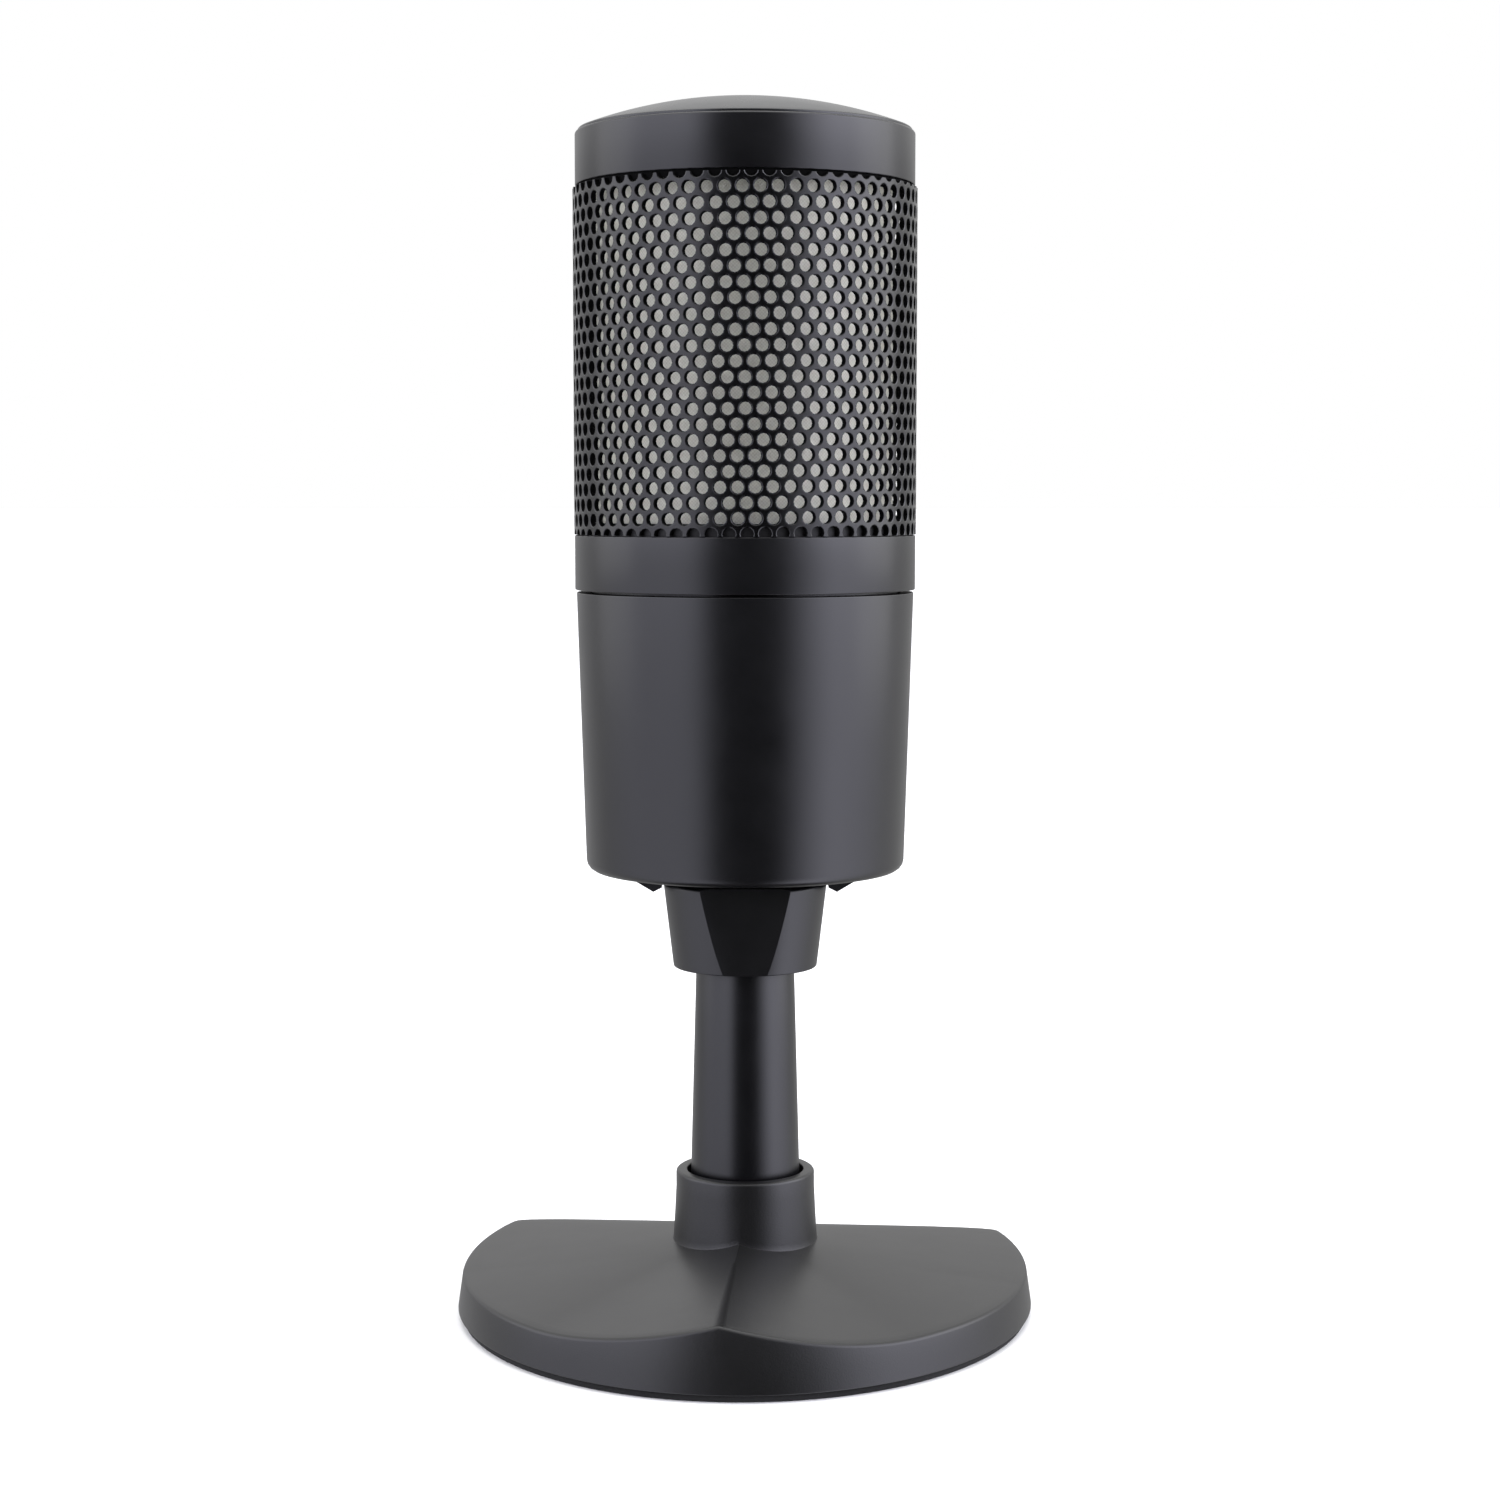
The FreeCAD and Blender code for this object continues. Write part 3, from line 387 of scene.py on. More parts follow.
def makeRing():
    values = {"bore": 25.0 * mm, "rimDepth": 3.6 * mm, "spigotLift": 1.1 * mm, "seatRoom": 0.1 * mm,
              "footRound": 0.22 * mm, "topRound": 0.4 * mm}
    out = widest("top_ring")
    top = highLevel("top_ring")
    foot = highLevel("grille_sleeve")
    low = lowLevel("top_ring") + values["spigotLift"]
    floor = top - values["rimDepth"]
    seat = widest("wire_gauze") + values["seatRoom"]
    spigot = widest("grille_sleeve") - grilleValues["sheet"]
    corners = [
        (out, foot, values["footRound"]), (out, top, values["topRound"]), (values["bore"], top, 0),
        (values["bore"], floor, 0), (seat, floor, 0), (seat, low, 0), (spigot, low, 0), (spigot, foot, 0),
    ]
    ring = finishPiece("topRing", spunMesh(corners), "powderCoatSatinBlack", "head",
                       ["top_ring"])
    paintInside(ring, lambda place: place.z < foot)


def makeBand():
    values = {"spigotDrop": 3.0 * mm, "ledgeDepth": 4.6 * mm, "wall": 1.8 * mm, "spigot": 25.05 * mm,
              "bore": 24.0 * mm, "round": 0.2 * mm, "near": 0.1 * mm}
    out = widest("head_band")
    top = highLevel("head_band")
    low = lowLevel("head_band")
    foot = low + values["spigotDrop"]
    ledge = top - values["ledgeDepth"]
    inner = out - values["wall"]
    corners = [
        (out, foot, values["round"]), (out, top, values["round"]), (inner, top, 0), (inner, ledge, 0),
        (values["bore"], ledge, 0), (values["bore"], low, 0), (values["spigot"], low, 0),
        (values["spigot"], foot, 0),
    ]
    band = finishPiece("headBand", spunMesh(corners), "powderCoatSatinBlack", "head",
                       ["head_band"])
    paintInside(band, lambda place: place.z > ledge - values["near"]
                and place.xy.length < inner + values["near"])


def makeHousing():
    values = {"wall": 2.0 * mm, "footRound": 1.7 * mm, "topRound": 0.2 * mm, "ledge": 1.2 * mm,
              "ledgeDepth": 1.6 * mm, "footRadius": 26.2 * mm, "footEdge": 0.15 * mm,
              "cutFrom": 20 * mm, "cutTo": 32 * mm}
    foot = lowLevel("lower_housing")
    top = highLevel("lower_housing")
    out = widest("lower_housing")
    floor = lowLevel("body_floor")
    low = values["footRadius"]
    atFloor = low + (out - low) * (floor - foot) / (top - foot) - values["wall"]
    lip = low - values["wall"] - values["ledge"]
    corners = [
        (low - values["wall"], foot, values["footEdge"]), (low, foot, values["footRound"]),
        (out, top, values["topRound"]), (out - values["wall"], top, 0), (atFloor, floor, 0),
        (lip, floor, 0), (lip, floor - values["ledgeDepth"], 0),
        (atFloor, floor - values["ledgeDepth"], 0),
    ]
    housing = finishPiece("lowerHousing", spunMesh(corners), "powderCoatSatinBlack", "head",
                          ["lower_housing"])
    # each hole's part, and the room round its widest part
    holes = [("gain_shaft", 0.4 * mm), ("mute_button", -0.82 * mm), ("status_lens", 0.02 * mm)]
    tools = []
    for node, room in holes:
        middle = (lowLevel(node) + highLevel(node)) / 2
        tools.append(frontRod(widest(node) + room, values["cutFrom"], values["cutTo"], middle))
    cutAway(housing, tools)


# perforated sheet: staggered round holes whose rows climb one row in each turn
# the punch leaves each hole with a drawn rim outside and a little narrower inside
grilleValues = {"holesPerTurn": 62.5, "rowStep": 2.435 * mm, "holeRadius": 1.06 * mm, "punchEnd": 0.99 * mm,
                "rim": 0.12 * mm, "rimDrop": 0.07 * mm, "sheet": 0.8 * mm, "topReveal": 0.4 * mm,
                "footReveal": 0.12 * mm, "startAcross": -0.37 * mm, "startLevel": 182.74 * mm}


def extrudeRing(mesh, ring, places):
    # extrudes a closed ring of vertices once and puts the new ring at the given places
    edges = [mesh.edges.get(pair) for pair in zip(ring, ring[1:] + ring[:1])]
    made = bmesh.ops.extrude_edge_only(mesh, edges=edges)["geom"]
    fresh = {item for item in made if isinstance(item, bmesh.types.BMVert)}
    following = []
    for vert, place in zip(ring, places):
        new = next(e.other_vert(vert) for e in vert.link_edges if e.other_vert(vert) in fresh)
        new.co = place
        following.append(new)
    return following


def makeCell(values, acrossStep, upStep):
    # one hole, its wall and both faces of the sheet, out to the six-sided cell shared with its neighbours
    mesh = bmesh.new()
    start = bmesh.ops.create_circle(mesh, cap_ends=False, segments=12, radius=1.0)["verts"]
    start = sorted(start, key=lambda vert: turnOf(vert.co))
    around = [vert.co.copy() for vert in start]
    inner = Vector((0, 0, -values["sheet"]))
    for vert, place in zip(start, around):
        vert.co = place * values["punchEnd"] + inner
    thirds = [(acrossStep + upStep) / 3, (upStep * 2 - acrossStep) / 3, (upStep - acrossStep * 2) / 3]
    thirds = sorted(thirds + [-place for place in thirds], key=turnOf)
    middles = [(p + q) / 2 for p, q in zip(thirds, thirds[1:] + thirds[:1])]
    border = sorted(thirds + middles, key=turnOf)
    # the border starts at the corner nearest the hole's own first corner
    turned = [border[k:] + border[:k] for k in range(len(border))]
    border = min(turned, key=lambda ends: sum((p - q * mm).length for p, q in zip(ends, around)))
    extrudeRing(mesh, start, [place + inner for place in border])
    drop = Vector((0, 0, -values["rimDrop"]))
    edge = extrudeRing(mesh, start, [place * values["holeRadius"] + drop for place in around])
    for face in mesh.faces:
        face.material_index = 1
    flat = extrudeRing(mesh, edge, [place * (values["holeRadius"] + values["rim"]) for place in around])
    extrudeRing(mesh, flat, border)
    for face in mesh.faces:
        if min(vert.co.z for vert in face.verts) > -values["rimDrop"] * 1.01:
            face.material_index = 0
    return mesh


def copyCells(mesh, geometry, shift):
    copied = bmesh.ops.duplicate(mesh, geom=geometry)["geom"]
    bmesh.ops.translate(mesh, verts=[item for item in copied if isinstance(item, bmesh.types.BMVert)],
                        vec=shift)
    return copied


def makeGrille(values):
    radius = widest("grille_sleeve")
    foot = lowLevel("grille_sleeve")
    top = highLevel("grille_sleeve")
    around = wholeTurn * radius
    step = values["rowStep"]
    climb = step / math.ceil(values["holesPerTurn"])
    lean = -climb * step * values["holesPerTurn"] / around
    pitch = (around + lean) / values["holesPerTurn"]
    acrossStep = Vector((pitch, climb, 0))
    upStep = Vector((pitch / 2 + lean, step, 0))
    mesh = makeCell(values, acrossStep, upStep)
    cell = mesh.verts[:] + mesh.edges[:] + mesh.faces[:]
    strip = list(cell)
    fewest = math.floor(values["holesPerTurn"])
    for column in range(1, fewest):
        strip += copyCells(mesh, cell, acrossStep * column)
    start = Vector((values["startAcross"], values["startLevel"] - foot, 0))
    lowest = math.floor((-start.y - step) / step)
    highest = math.ceil((top - foot - start.y + step) / step)
    for row in range(lowest, highest + 1):
        place = start + upStep * row
        place += acrossStep * math.ceil((-around / 2 - place.x) / pitch)
        copyCells(mesh, strip, place)
        if place.x + pitch * fewest < around / 2:
            copyCells(mesh, cell, place + acrossStep * fewest)
    bmesh.ops.delete(mesh, geom=[item for item in strip if isinstance(item, bmesh.types.BMVert)],
                     context="VERTS")
    # rolled into a tube, seam at the front
    for vert in mesh.verts:
        across, level, depth = vert.co
        angle = across / radius
        out = radius + depth
        vert.co = (out * math.sin(angle), -out * math.cos(angle), foot + level)
    bmesh.ops.remove_doubles(mesh, verts=mesh.verts, dist=0.004 * mm)
    # the sheet stops a little short at both ends and leaves a dark line there
    trimmed(mesh, (0, 0, foot + values["footReveal"]), (0, 0, -1))
    trimmed(mesh, (0, 0, top - values["topReveal"]), (0, 0, 1))
    loose = [vert for vert in mesh.verts if not vert.link_faces]
    bmesh.ops.delete(mesh, geom=loose, context="VERTS")
    bmesh.ops.recalc_face_normals(mesh, faces=mesh.faces)
    piece = finishPiece("grillePerforated", mesh, "sprayPaintPerforatedSteel", "head",
                        ["grille_sleeve"], sharp=22)
    piece.data.materials.append(materials["sprayPaintDryInside"])
    return piece


def makeGauze():
    out = widest("wire_gauze")
    inner = out - 0.3 * mm
    foot = lowLevel("wire_gauze")
    top = highLevel("wire_gauze")
    corners = [(inner, foot, 0), (out, foot, 0), (out, top, 0), (inner, top, 0)]
    finishPiece("wireGauze", spunMesh(corners), "stainlessWireWoven", "head", ["wire_gauze"])


makeDome()
makeRing()
makeBand()
makeHousing()
print("body shells made")
grille = makeGrille(grilleValues)
makeGauze()
print("grille made:", len(grille.data.polygons), "faces")


def makeStem():
    values = {"foot": 9.35 * mm, "neck": 8.15 * mm, "spigot": 6.15 * mm, "bore": 4.6 * mm,
              "bolt": 3.1 * mm, "boreEnd": 4 * mm, "footRound": 0.3 * mm, "neckRound": 0.15 * mm}
    foot = lowLevel("stem")
    neck = lowLevel("pivot_collar")
    top = highLevel("stem")
    corners = [
        (values["bore"], foot, 0), (values["foot"], foot, values["footRound"]),
        (values["neck"], neck, values["neckRound"]), (values["spigot"], neck, 0),
        (values["spigot"], top, 0), (values["bolt"], top, 0),
        (values["bolt"], neck - values["boreEnd"], 0), (values["bore"], neck - values["boreEnd"], 0),
    ]
    finishPiece("stemTube", spunMesh(corners, steps=128), "powderCoatSatinBlack", "stand",
                ["stem"])


collarValues = {"foot": 11.9 * mm, "top": 13.6 * mm, "topLevel": 72.0 * mm, "rim": 0.7 * mm,
                "footRound": 0.25 * mm, "flat": 11.35 * mm, "flatEdge": 0.3 * mm, "pivot": 75.0 * mm,
                "knuckle": 5.2 * mm, "halfWidth": 12.0 * mm, "pin": 2.04 * mm, "spigotBore": 6.2 * mm,
                "bolt": 3.0 * mm, "knuckleDepth": 2.0 * mm, "spigotDepth": 6.55 * mm,
                "boltDepth": 10.7 * mm}


def makeCollar(values):
    foot = lowLevel("pivot_collar")
    top = values["topLevel"]
    cone = spunMesh([
        (0, foot, 0), (values["foot"], foot, values["footRound"]), (values["top"], top, values["rim"]),
        (0, top, 0)], steps=128, closed=False)
    for side in (-1, 1):
        trimmed(cone, (0, side * values["flat"], 0), (0, side, 0))
    tidied(cone)
    flatEdges = [edge for edge in cone.edges if len(edge.link_faces) == 2 and edge.calc_face_angle(0) > 0.2
                 and all(abs(abs(vert.co.y) - values["flat"]) < 0.001 * mm for vert in edge.verts)]
    rounded(cone, flatEdges, values["flatEdge"], 3)
    tidied(cone)
    # the knuckle: a round bar across, its lower half drawn straight down into the cone
    place = Matrix.Translation((0, 0, values["pivot"])) @ Matrix.Rotation(math.pi / 2, 4, "Y")
    knuckle = rod(values["knuckle"], 2 * values["halfWidth"], place, 96)
    post = [v for v in knuckle.verts if v.co.z < values["pivot"] - 0.01 * mm]
    for vert in post:
        vert.co.z = top - values["knuckleDepth"]
        vert.co.y = math.copysign(values["knuckle"], vert.co.y) if abs(vert.co.y) > 0.01 * mm else 0.0
    tidied(knuckle)
    piece = finishPiece("pivotCollar", cone, "absFineSatin", "stand",
                        ["pivot_collar"])
    cutAway(piece, [knuckle], "UNION")
    bores = [rod(radius, high - low, Matrix.Translation((0, 0, (low + high) / 2)), 64)
             for radius, low, high in ((values["spigotBore"], foot - mm, foot + values["spigotDepth"]),
                                       (values["bolt"], foot, foot + values["boltDepth"]))]
    cutAway(piece, bores + [rod(values["pin"], 4 * values["halfWidth"], place, 48)])


makeStem()
makeCollar(collarValues)
print("stem and collar made")


baseValues = {
    "halfWidth": 47.9 * mm, "front": 52.6 * mm, "back": 23.2 * mm, "turn": -4.4, "draft": 8.0,
    "corner": 1.2 * mm, "sideRim": 6.9 * mm, "backRim": 7.8 * mm, "hub": 11.5 * mm,
    "ridgeHubHeight": 1.9 * mm, "ridgeRimHeight": 4.4 * mm, "ridgeHubWidth": 10.7 * mm,
    "ridgeRimWidth": 38.0 * mm, "ridgeFade": 2.0, "ridgeStart": 8 * mm, "backSlope": 0.26,
    "hubReach": 0.24, "rimBlend": 10 * mm,
    "wallSteps": ((0.0, 0.0), (0.45, 0.36), (0.88, 0.76), (0.97, 0.88)),
    "slopeBlend": 0.5 * mm, "guideInset": 0.8 * mm, "socketWall": 3.0 * mm, "boltRecess": 1.0 * mm,
    "boreRound": 0.25 * mm, "rimRound": 0.65 * mm, "footRound": 0.25 * mm, "shellInset": 2.4 * mm,
    "hubInset": 16.0 * mm, "cavity": 4.9 * mm, "hubCavity": 6.9 * mm, "padInset": 0.8 * mm,
    "socket": 11.55 * mm, "socketFoot": 12.1 * mm, "socketBore": 9.7 * mm, "boltHole": 3.05 * mm,
    "boltHead": 5.0 * mm, "padRound": 0.15 * mm, "topRings": 18, "frontSteps": 172, "backSteps": 52,
    "cornerSteps": 6,
}


def mix(start, end, share):
    return start + (end - start) * share


def clamp(value):
    return min(1.0, max(0.0, value))


def topLevel(across, along, v):
    # the base's top: a slow fall from the socket, and the ridge fanning out to the rounded side
    reach = math.hypot(across / v["halfWidth"], along / v["front"])
    rim = mix(v["sideRim"], v["backRim"], clamp((along + v["rimBlend"]) / (v["back"] + v["rimBlend"])))
    sideSlope = mix(v["hub"], rim, max(0.0, reach - v["hubReach"]) / (1 - v["hubReach"]))
    backSlope = v["backRim"] + v["backSlope"] * (v["back"] - along)
    soft = v["slopeBlend"]
    plain = (sideSlope + backSlope - math.hypot(sideSlope - backSlope, soft)) / 2 + soft / 4
    progress = clamp((-along - v["socketFoot"]) / (v["front"] - v["socketFoot"]))
    width = mix(v["ridgeHubWidth"], v["ridgeRimWidth"], progress)
    height = mix(v["ridgeHubHeight"], v["ridgeRimHeight"], progress)
    shoulder = max(0.0, 1 - abs(across) / width) ** v["ridgeFade"]
    return plain + height * shoulder * clamp(-along / v["ridgeStart"])


def outline(v, inset):
    # the D outline: the rounded side towards -Y, a tight corner, the straight side, a tight corner
    half = v["halfWidth"] - inset
    front = v["front"] - inset
    back = v["back"] - inset
    last = math.acos(-back / front)
    across = half * math.sin(last)
    speed = math.hypot(half * math.cos(last), front * math.sin(last))
    reach = last - v["corner"] / speed
    points = [Vector((half * math.sin(a), -front * math.cos(a)))
              for a in (mix(-reach, reach, k / v["frontSteps"]) for k in range(v["frontSteps"] + 1))]
    for side in (1, -1):
        start = Vector((half * math.sin(reach) * side, -front * math.cos(reach)))
        tip = Vector((across * side, back))
        end = Vector(((across - v["corner"]) * side, back))
        if side < 0:
            start, end = end, start
        steps = v["cornerSteps"]
        bend = [start * (1 - t) ** 2 + tip * 2 * t * (1 - t) + end * t ** 2
                for t in (k / steps for k in range(1, steps + 1))]
        if side > 0:
            points += bend
            points += [end.lerp(Vector((-end.x, back)), k / v["backSteps"])
                       for k in range(1, v["backSteps"] + 1)]
        else:
            points += bend[:-1]
    return points


def atLevel(points, level):
    return [Vector((p.x, p.y, level)) for p in points]


def circleLike(points, radius, level=0.0):
    return [Vector((p.x, p.y, 0)).normalized() * radius + Vector((0, 0, level)) for p in points]


def makeBaseShell(v):
    foot = highLevel("foot_pad")
    top = highLevel("base_shell")
    floor = lowLevel("swivel_washer")
    lean = math.tan(math.radians(v["draft"]))
    footRound = v["footRound"] * 1.001  # kept apart from the bore's, which is the same size
    guide = outline(v, v["guideInset"])
    insets = [(topLevel(p.x, p.y, v) - foot) * lean for p in guide]
    byInset = [outline(v, inset)[k] for k, inset in enumerate(insets)]
    rim = [Vector((p.x, p.y, topLevel(p.x, p.y, v))) for p in byInset]
    under = v["hubCavity"] + v["boltRecess"]
    socketFeet = circleLike(guide, v["socketFoot"])
    for place in socketFeet:
        place.z = topLevel(place.x, place.y, v)
    mesh = bmesh.new()
    ring = bmesh.ops.create_circle(mesh, cap_ends=False, segments=len(guide), radius=1.0)["verts"]
    startPlaces = circleLike(guide, v["boltHole"], under)
    for vert, place in zip(ring, startPlaces):
        vert.co = place
    ring = extrudeRing(mesh, ring, circleLike(guide, v["boltHole"], floor))
    ring = extrudeRing(mesh, ring, circleLike(guide, v["socketBore"], floor))
    soft = {size: [] for size in (v["boreRound"], v["rimRound"], footRound)}
    ring = extrudeRing(mesh, ring, circleLike(guide, v["socketBore"], top))
    soft[v["boreRound"]] += ring
    ring = extrudeRing(mesh, ring, circleLike(guide, v["socket"], top))
    soft[v["rimRound"]] += ring
    # the socket's wall leans straight out to its foot, with a small hollow curve at the very end
    for share, radiusShare in v["wallSteps"]:
        places = circleLike(guide, mix(v["socket"], v["socketFoot"], radiusShare))
        for place, end in zip(places, socketFeet):
            place.z = mix(top - v["socketWall"], end.z, share)
        ring = extrudeRing(mesh, ring, places)
    ring = extrudeRing(mesh, ring, socketFeet)
    for k in range(1, v["topRings"] + 1):
        share = k / v["topRings"]
        places = []
        for start, end in zip(socketFeet, rim):
            flat = start.lerp(end, share)
            places.append(Vector((flat.x, flat.y, topLevel(flat.x, flat.y, v))))
        ring = extrudeRing(mesh, ring, places)
    soft[v["rimRound"]] += ring
    ring = extrudeRing(mesh, ring, atLevel(outline(v, 0), foot))
    soft[footRound] += ring
    ring = extrudeRing(mesh, ring, atLevel(outline(v, v["shellInset"]), foot))
    ring = extrudeRing(mesh, ring, atLevel(outline(v, v["shellInset"]), v["cavity"]))
    ring = extrudeRing(mesh, ring, atLevel(outline(v, v["hubInset"]), v["cavity"]))
    ring = extrudeRing(mesh, ring, atLevel(outline(v, v["hubInset"]), v["hubCavity"]))
    ring = extrudeRing(mesh, ring, circleLike(guide, v["boltHead"], v["hubCavity"]))
    ring = extrudeRing(mesh, ring, circleLike(guide, v["boltHead"], under))
    extrudeRing(mesh, ring, startPlaces)
    for size, verts in soft.items():
        kept = set(verts)
        edges = [e for e in mesh.edges if e.verts[0] in kept and e.verts[1] in kept]
        rounded(mesh, edges, size)
    tidied(mesh)
    bmesh.ops.rotate(mesh, verts=mesh.verts, cent=(0, 0, 0),
                     matrix=Matrix.Rotation(math.radians(v["turn"]), 3, "Z"))
    finishPiece("baseShell", mesh, "absSparkTexture", "base", ["base_shell"])


def makePad(v):
    mesh = bmesh.new()
    points = outline(v, v["padInset"])
    ring = bmesh.ops.create_circle(mesh, cap_ends=True, segments=len(points), radius=1.0)["verts"]
    for vert, place in zip(ring, atLevel(points, 0.0)):
        vert.co = place
    made = bmesh.ops.extrude_face_region(mesh, geom=mesh.faces[:])["geom"]
    raised = [item for item in made if isinstance(item, bmesh.types.BMVert)]
    bmesh.ops.translate(mesh, verts=raised, vec=(0, 0, highLevel("foot_pad")))
    tidied(mesh)
    corners = [e for e in mesh.edges if len(e.link_faces) == 2 and e.calc_face_angle(0) > 1.2]
    rounded(mesh, corners, v["padRound"], 2)
    tidied(mesh)
    bmesh.ops.rotate(mesh, verts=mesh.verts, cent=(0, 0, 0),
                     matrix=Matrix.Rotation(math.radians(v["turn"]), 3, "Z"))
    finishPiece("footPad", mesh, "rubberSheetCut", "base", ["foot_pad"])


makeBaseShell(baseValues)
makePad(baseValues)
print("base made")


knobValues = {"grips": 36, "gripDepth": 0.28 * mm, "gripEdge": 0.12 * mm, "edge": 0.5 * mm,
              "dish": 0.35 * mm, "bore": 2.0 * mm, "boreEnd": 2.0 * mm, "backRound": 0.3 * mm,
              "dishRound": 0.2 * mm, "rimShare": 0.72, "dishShare": 0.68,
              "mark": (0.8 * mm, 0.3 * mm, 2.6 * mm), "markRound": 0.08 * mm,
              "markShare": 0.42, "markSink": 0.1 * mm}


def faceFront(mesh, level):
    # lays a piece turned about the upright axis along +Y, its top to the front
    bmesh.ops.rotate(mesh, verts=mesh.verts, cent=(0, 0, 0), matrix=Matrix.Rotation(-math.pi / 2, 3, "X"))
    bmesh.ops.translate(mesh, verts=mesh.verts, vec=(0, 0, level))
    return mesh


def makeKnob(values):
    low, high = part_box("gain_knob")
    radius = widest("gain_knob")
    level = (low[2] + high[2]) / 2
    back = low[1]
    face = high[1]
    dish = face - values["dish"]
    mesh = spunMesh([
        (0, face - values["boreEnd"], 0), (values["bore"], face - values["boreEnd"], 0),
        (values["bore"], back, 0), (radius, back, values["backRound"]), (radius, face, values["edge"]),
        (radius * values["rimShare"], face, values["dishRound"]),
        (radius * values["dishShare"], dish, values["dishRound"]), (0, dish, 0),
    ], steps=values["grips"] * 4, closed=False)
    sides = [f for f in mesh.faces if f.calc_area() > 0 and abs(f.normal.z) < 0.01
             and f.calc_center_median().xy.length > radius * 0.98]
    # four faces to a grip: two stay up, two are pressed in
    perFace = wholeTurn / (values["grips"] * 4)
    dips = [f for f in sides
            if int(round(turnOf(f.calc_center_median()) % wholeTurn / perFace - 0.5)) % 4 < 2]
    bmesh.ops.inset_region(mesh, faces=dips, thickness=values["gripEdge"],
                           depth=-values["gripDepth"], use_even_offset=True)
    bmesh.ops.recalc_face_normals(mesh, faces=mesh.faces)
    finishPiece("gainKnob", faceFront(mesh, level), "absSatinControl", "knob",
                ["gain_knob"])
    mark = bmesh.new()
    bmesh.ops.create_cube(mark, size=1.0)
    bmesh.ops.scale(mark, verts=mark.verts, vec=values["mark"])
    rounded(mark, mark.edges[:], values["markRound"], 2)
    bmesh.ops.translate(mark, verts=mark.verts,
                        vec=(0, dish - values["markSink"], level + radius * values["markShare"]))
    finishPiece("knobMark", mark, "padPrintInk", "knob")


def makeButton():
    values = {"flange": 0.9 * mm, "stop": 0.8 * mm, "flangeThick": 1.0 * mm, "flangeRound": 0.1 * mm,
              "edge": 0.35 * mm, "dish": 0.25 * mm, "dishShare": 0.75, "dishRound": 0.15 * mm}
    low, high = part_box("mute_button")
    level = (low[2] + high[2]) / 2
    flange = widest("mute_button")
    cap = flange - values["flange"]
    face = high[1]
    back = low[1]
    seat = back + values["stop"]
    shoulder = seat + values["flangeThick"]
    corners = [
        (0, back, 0), (cap, back, 0), (cap, seat, 0), (flange, seat, 0),
        (flange, shoulder, values["flangeRound"]), (cap, shoulder, 0), (cap, face, values["edge"]),
        (cap * values["dishShare"], face, values["dishRound"]), (0, face - values["dish"], 0),
    ]
    finishPiece("muteButton", faceFront(spunMesh(corners, steps=96, closed=False), level),
                "absSatinControl", "button", ["mute_button"])


makeKnob(knobValues)
makeButton()
print("controls made")


carriedOver = {
    "absMouldedInner": ["body_floor", "gauze_seat", "inner_chassis", "capsule_bracket", "mute_switch"],
    "polycarbonateClear": ["status_lens", "status_led"],
    "solderMaskBoard": ["main_board", "control_board", "usb_board"],
    "epoxyPackage": ["board_chips", "gain_control"],
    "zincPlatedSteel": ["tilt_pin", "bracket_screws", "floor_screws", "capsule_screws", "base_screws",
                        "stem_bolt", "usb_socket"],
    "blackOxideSteel": ["tilt_bracket", "base_plate"],
    "castIronSkin": ["base_weight"],
    "brassTurned": ["capsule_body", "board_spacers", "gain_shaft"],
    "goldSputteredFilm": ["diaphragm"],
    "rubberSheetCut": ["capsule_ring"],
    "nylonNatural": ["tilt_washers", "swivel_washer"],
}
for finish, nodes in carriedOver.items():
    for node in nodes:
        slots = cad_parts[node].data.materials
        slots.clear()
        slots.append(materials[finish])
print("carried-over pieces finished")


studio = {
    "floor": "#f4f4f2", "backdrop": 1.0,
    # the white tent round the object: degrees from its opening on the -Y side, positive to the right,
    # then brightness, and coolness of the light there
    "tent": [(-180, 0.50, 0.0), (-117, 0.66, 0.2), (-85, 1.40, 1.0), (-45, 1.80, 1.0), (-35, 1.80, 1.0),
             (-21, 0.04, 0.5), (0, 0.02, 0.0), (26, 0.03, 0.5), (50, 2.20, 1.0), (62, 3.00, 1.0),
             (85, 2.20, 1.0), (117, 0.85, 0.2), (140, 0.58, 0.0), (180, 0.50, 0.0)],
    "coolest": (0.94, 0.94, 1.08), "brightest": 4.0, "rise": 0.8, "roof": 1.5,
    "riseZone": (0.02, 0.30), "roofZone": (0.55, 0.85), "aim": (0, 0, 0.11),
    "lights": [
        # name, place, size, watts
        ("leftBox", (-0.75, 0.10, 0.35), (0.5, 0.6), 0.8),
        ("rightBox", (0.75, 0.10, 0.35), (0.5, 0.6), 1.2),
        ("roofBox", (0.0, 0.10, 0.95), (0.8, 0.8), 3.0),
    ],
}


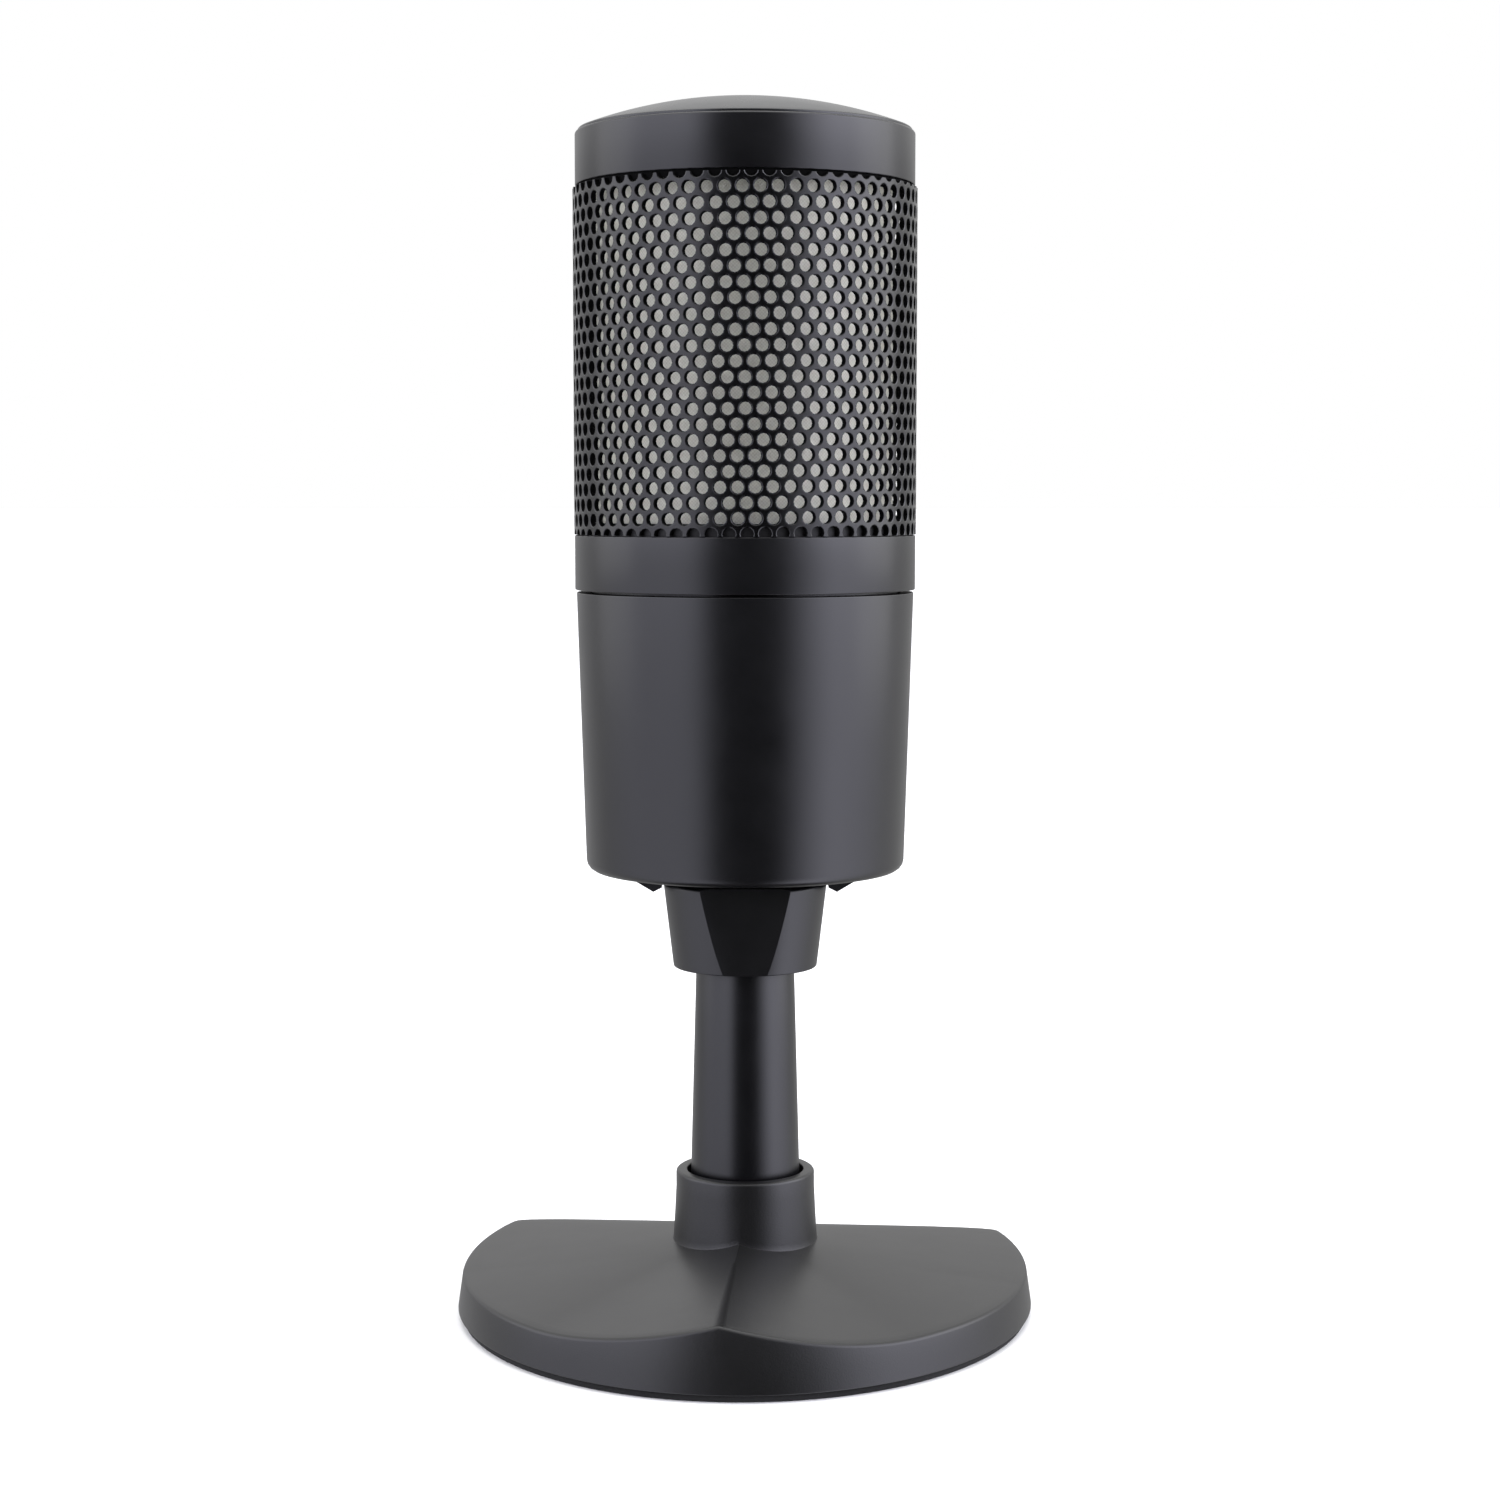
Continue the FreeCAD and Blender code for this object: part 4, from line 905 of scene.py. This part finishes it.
def makeStudio(values):
    mesh = bmesh.new()
    bmesh.ops.create_grid(mesh, x_segments=1, y_segments=1, size=30.0)
    data = bpy.data.meshes.new("studioFloor")
    mesh.to_mesh(data)
    mesh.free()
    floor = bpy.data.objects.new("studioFloor", data)
    bpy.context.scene.collection.objects.link(floor)
    paper, _, _ = startMaterial("paleFloorPaint", {"Base Color": values["floor"], "Roughness": 0.9})
    data.materials.append(paper)
    floor.visible_glossy = False
    for name, place, size, watts in values["lights"]:
        light = bpy.data.lights.new(name, "AREA")
        light.shape = "RECTANGLE"
        light.size, light.size_y = size
        light.energy = watts
        lamp = bpy.data.objects.new(name, light)
        lamp.location = place
        lamp.visible_camera = False
        aim = Vector(values["aim"]) - Vector(place)
        lamp.rotation_euler = aim.to_track_quat("-Z", "Y").to_euler()
        bpy.context.scene.collection.objects.link(lamp)
    world = bpy.data.worlds.new("studioWorld")
    world.use_nodes = True
    bpy.context.scene.world = world
    tree = world.node_tree
    tree.nodes.clear()
    out = addNode(tree, "ShaderNodeOutputWorld")
    direction = addNode(tree, "ShaderNodeTexCoord").outputs["Generated"]
    part = addNode(tree, "ShaderNodeSeparateXYZ", None, {"Vector": direction}).outputs
    toFront = calculate(tree, "MULTIPLY", part["Y"], -1.0)
    turn = calculate(tree, "ARCTAN2", part["X"], toFront)
    tent = addNode(tree, "ShaderNodeValToRGB", None,
                   {"Fac": spread(tree, turn, 0.0, 1.0, -math.pi, math.pi)})
    stops = tent.color_ramp.elements
    while len(stops) < len(values["tent"]):
        stops.new(0.5)
    for stop, (angle, level, cool) in zip(stops, values["tent"]):
        stop.position = angle / 360 + 0.5
        share = level / values["brightest"]
        stop.color = [share * (1 + (tint - 1) * cool) for tint in values["coolest"]] + [1]
    rise = spread(tree, part["Z"], 1.0, 1.0 + values["rise"], *values["riseZone"])
    rise = calculate(tree, "MULTIPLY", rise, values["brightest"])
    walls = addNode(tree, "ShaderNodeBackground", None, {"Color": tent.outputs["Color"], "Strength": rise})
    roof = addNode(tree, "ShaderNodeBackground", None, {"Color": (1, 1, 1, 1), "Strength": values["roof"]})
    room = addNode(tree, "ShaderNodeMixShader", None, {
        0: spread(tree, part["Z"], 0.0, 1.0, *values["roofZone"]), 1: walls.outputs[0], 2: roof.outputs[0]})
    plain = addNode(tree, "ShaderNodeBackground", None,
                    {"Color": (1, 1, 1, 1), "Strength": values["backdrop"]})
    seen = addNode(tree, "ShaderNodeLightPath").outputs["Is Camera Ray"]
    both = addNode(tree, "ShaderNodeMixShader", None, {0: seen, 1: room.outputs[0], 2: plain.outputs[0]})
    tree.links.new(both.outputs[0], out.inputs["Surface"])
    bpy.context.scene.view_settings.view_transform = "Standard"


makeStudio(studio)
print("studio made")
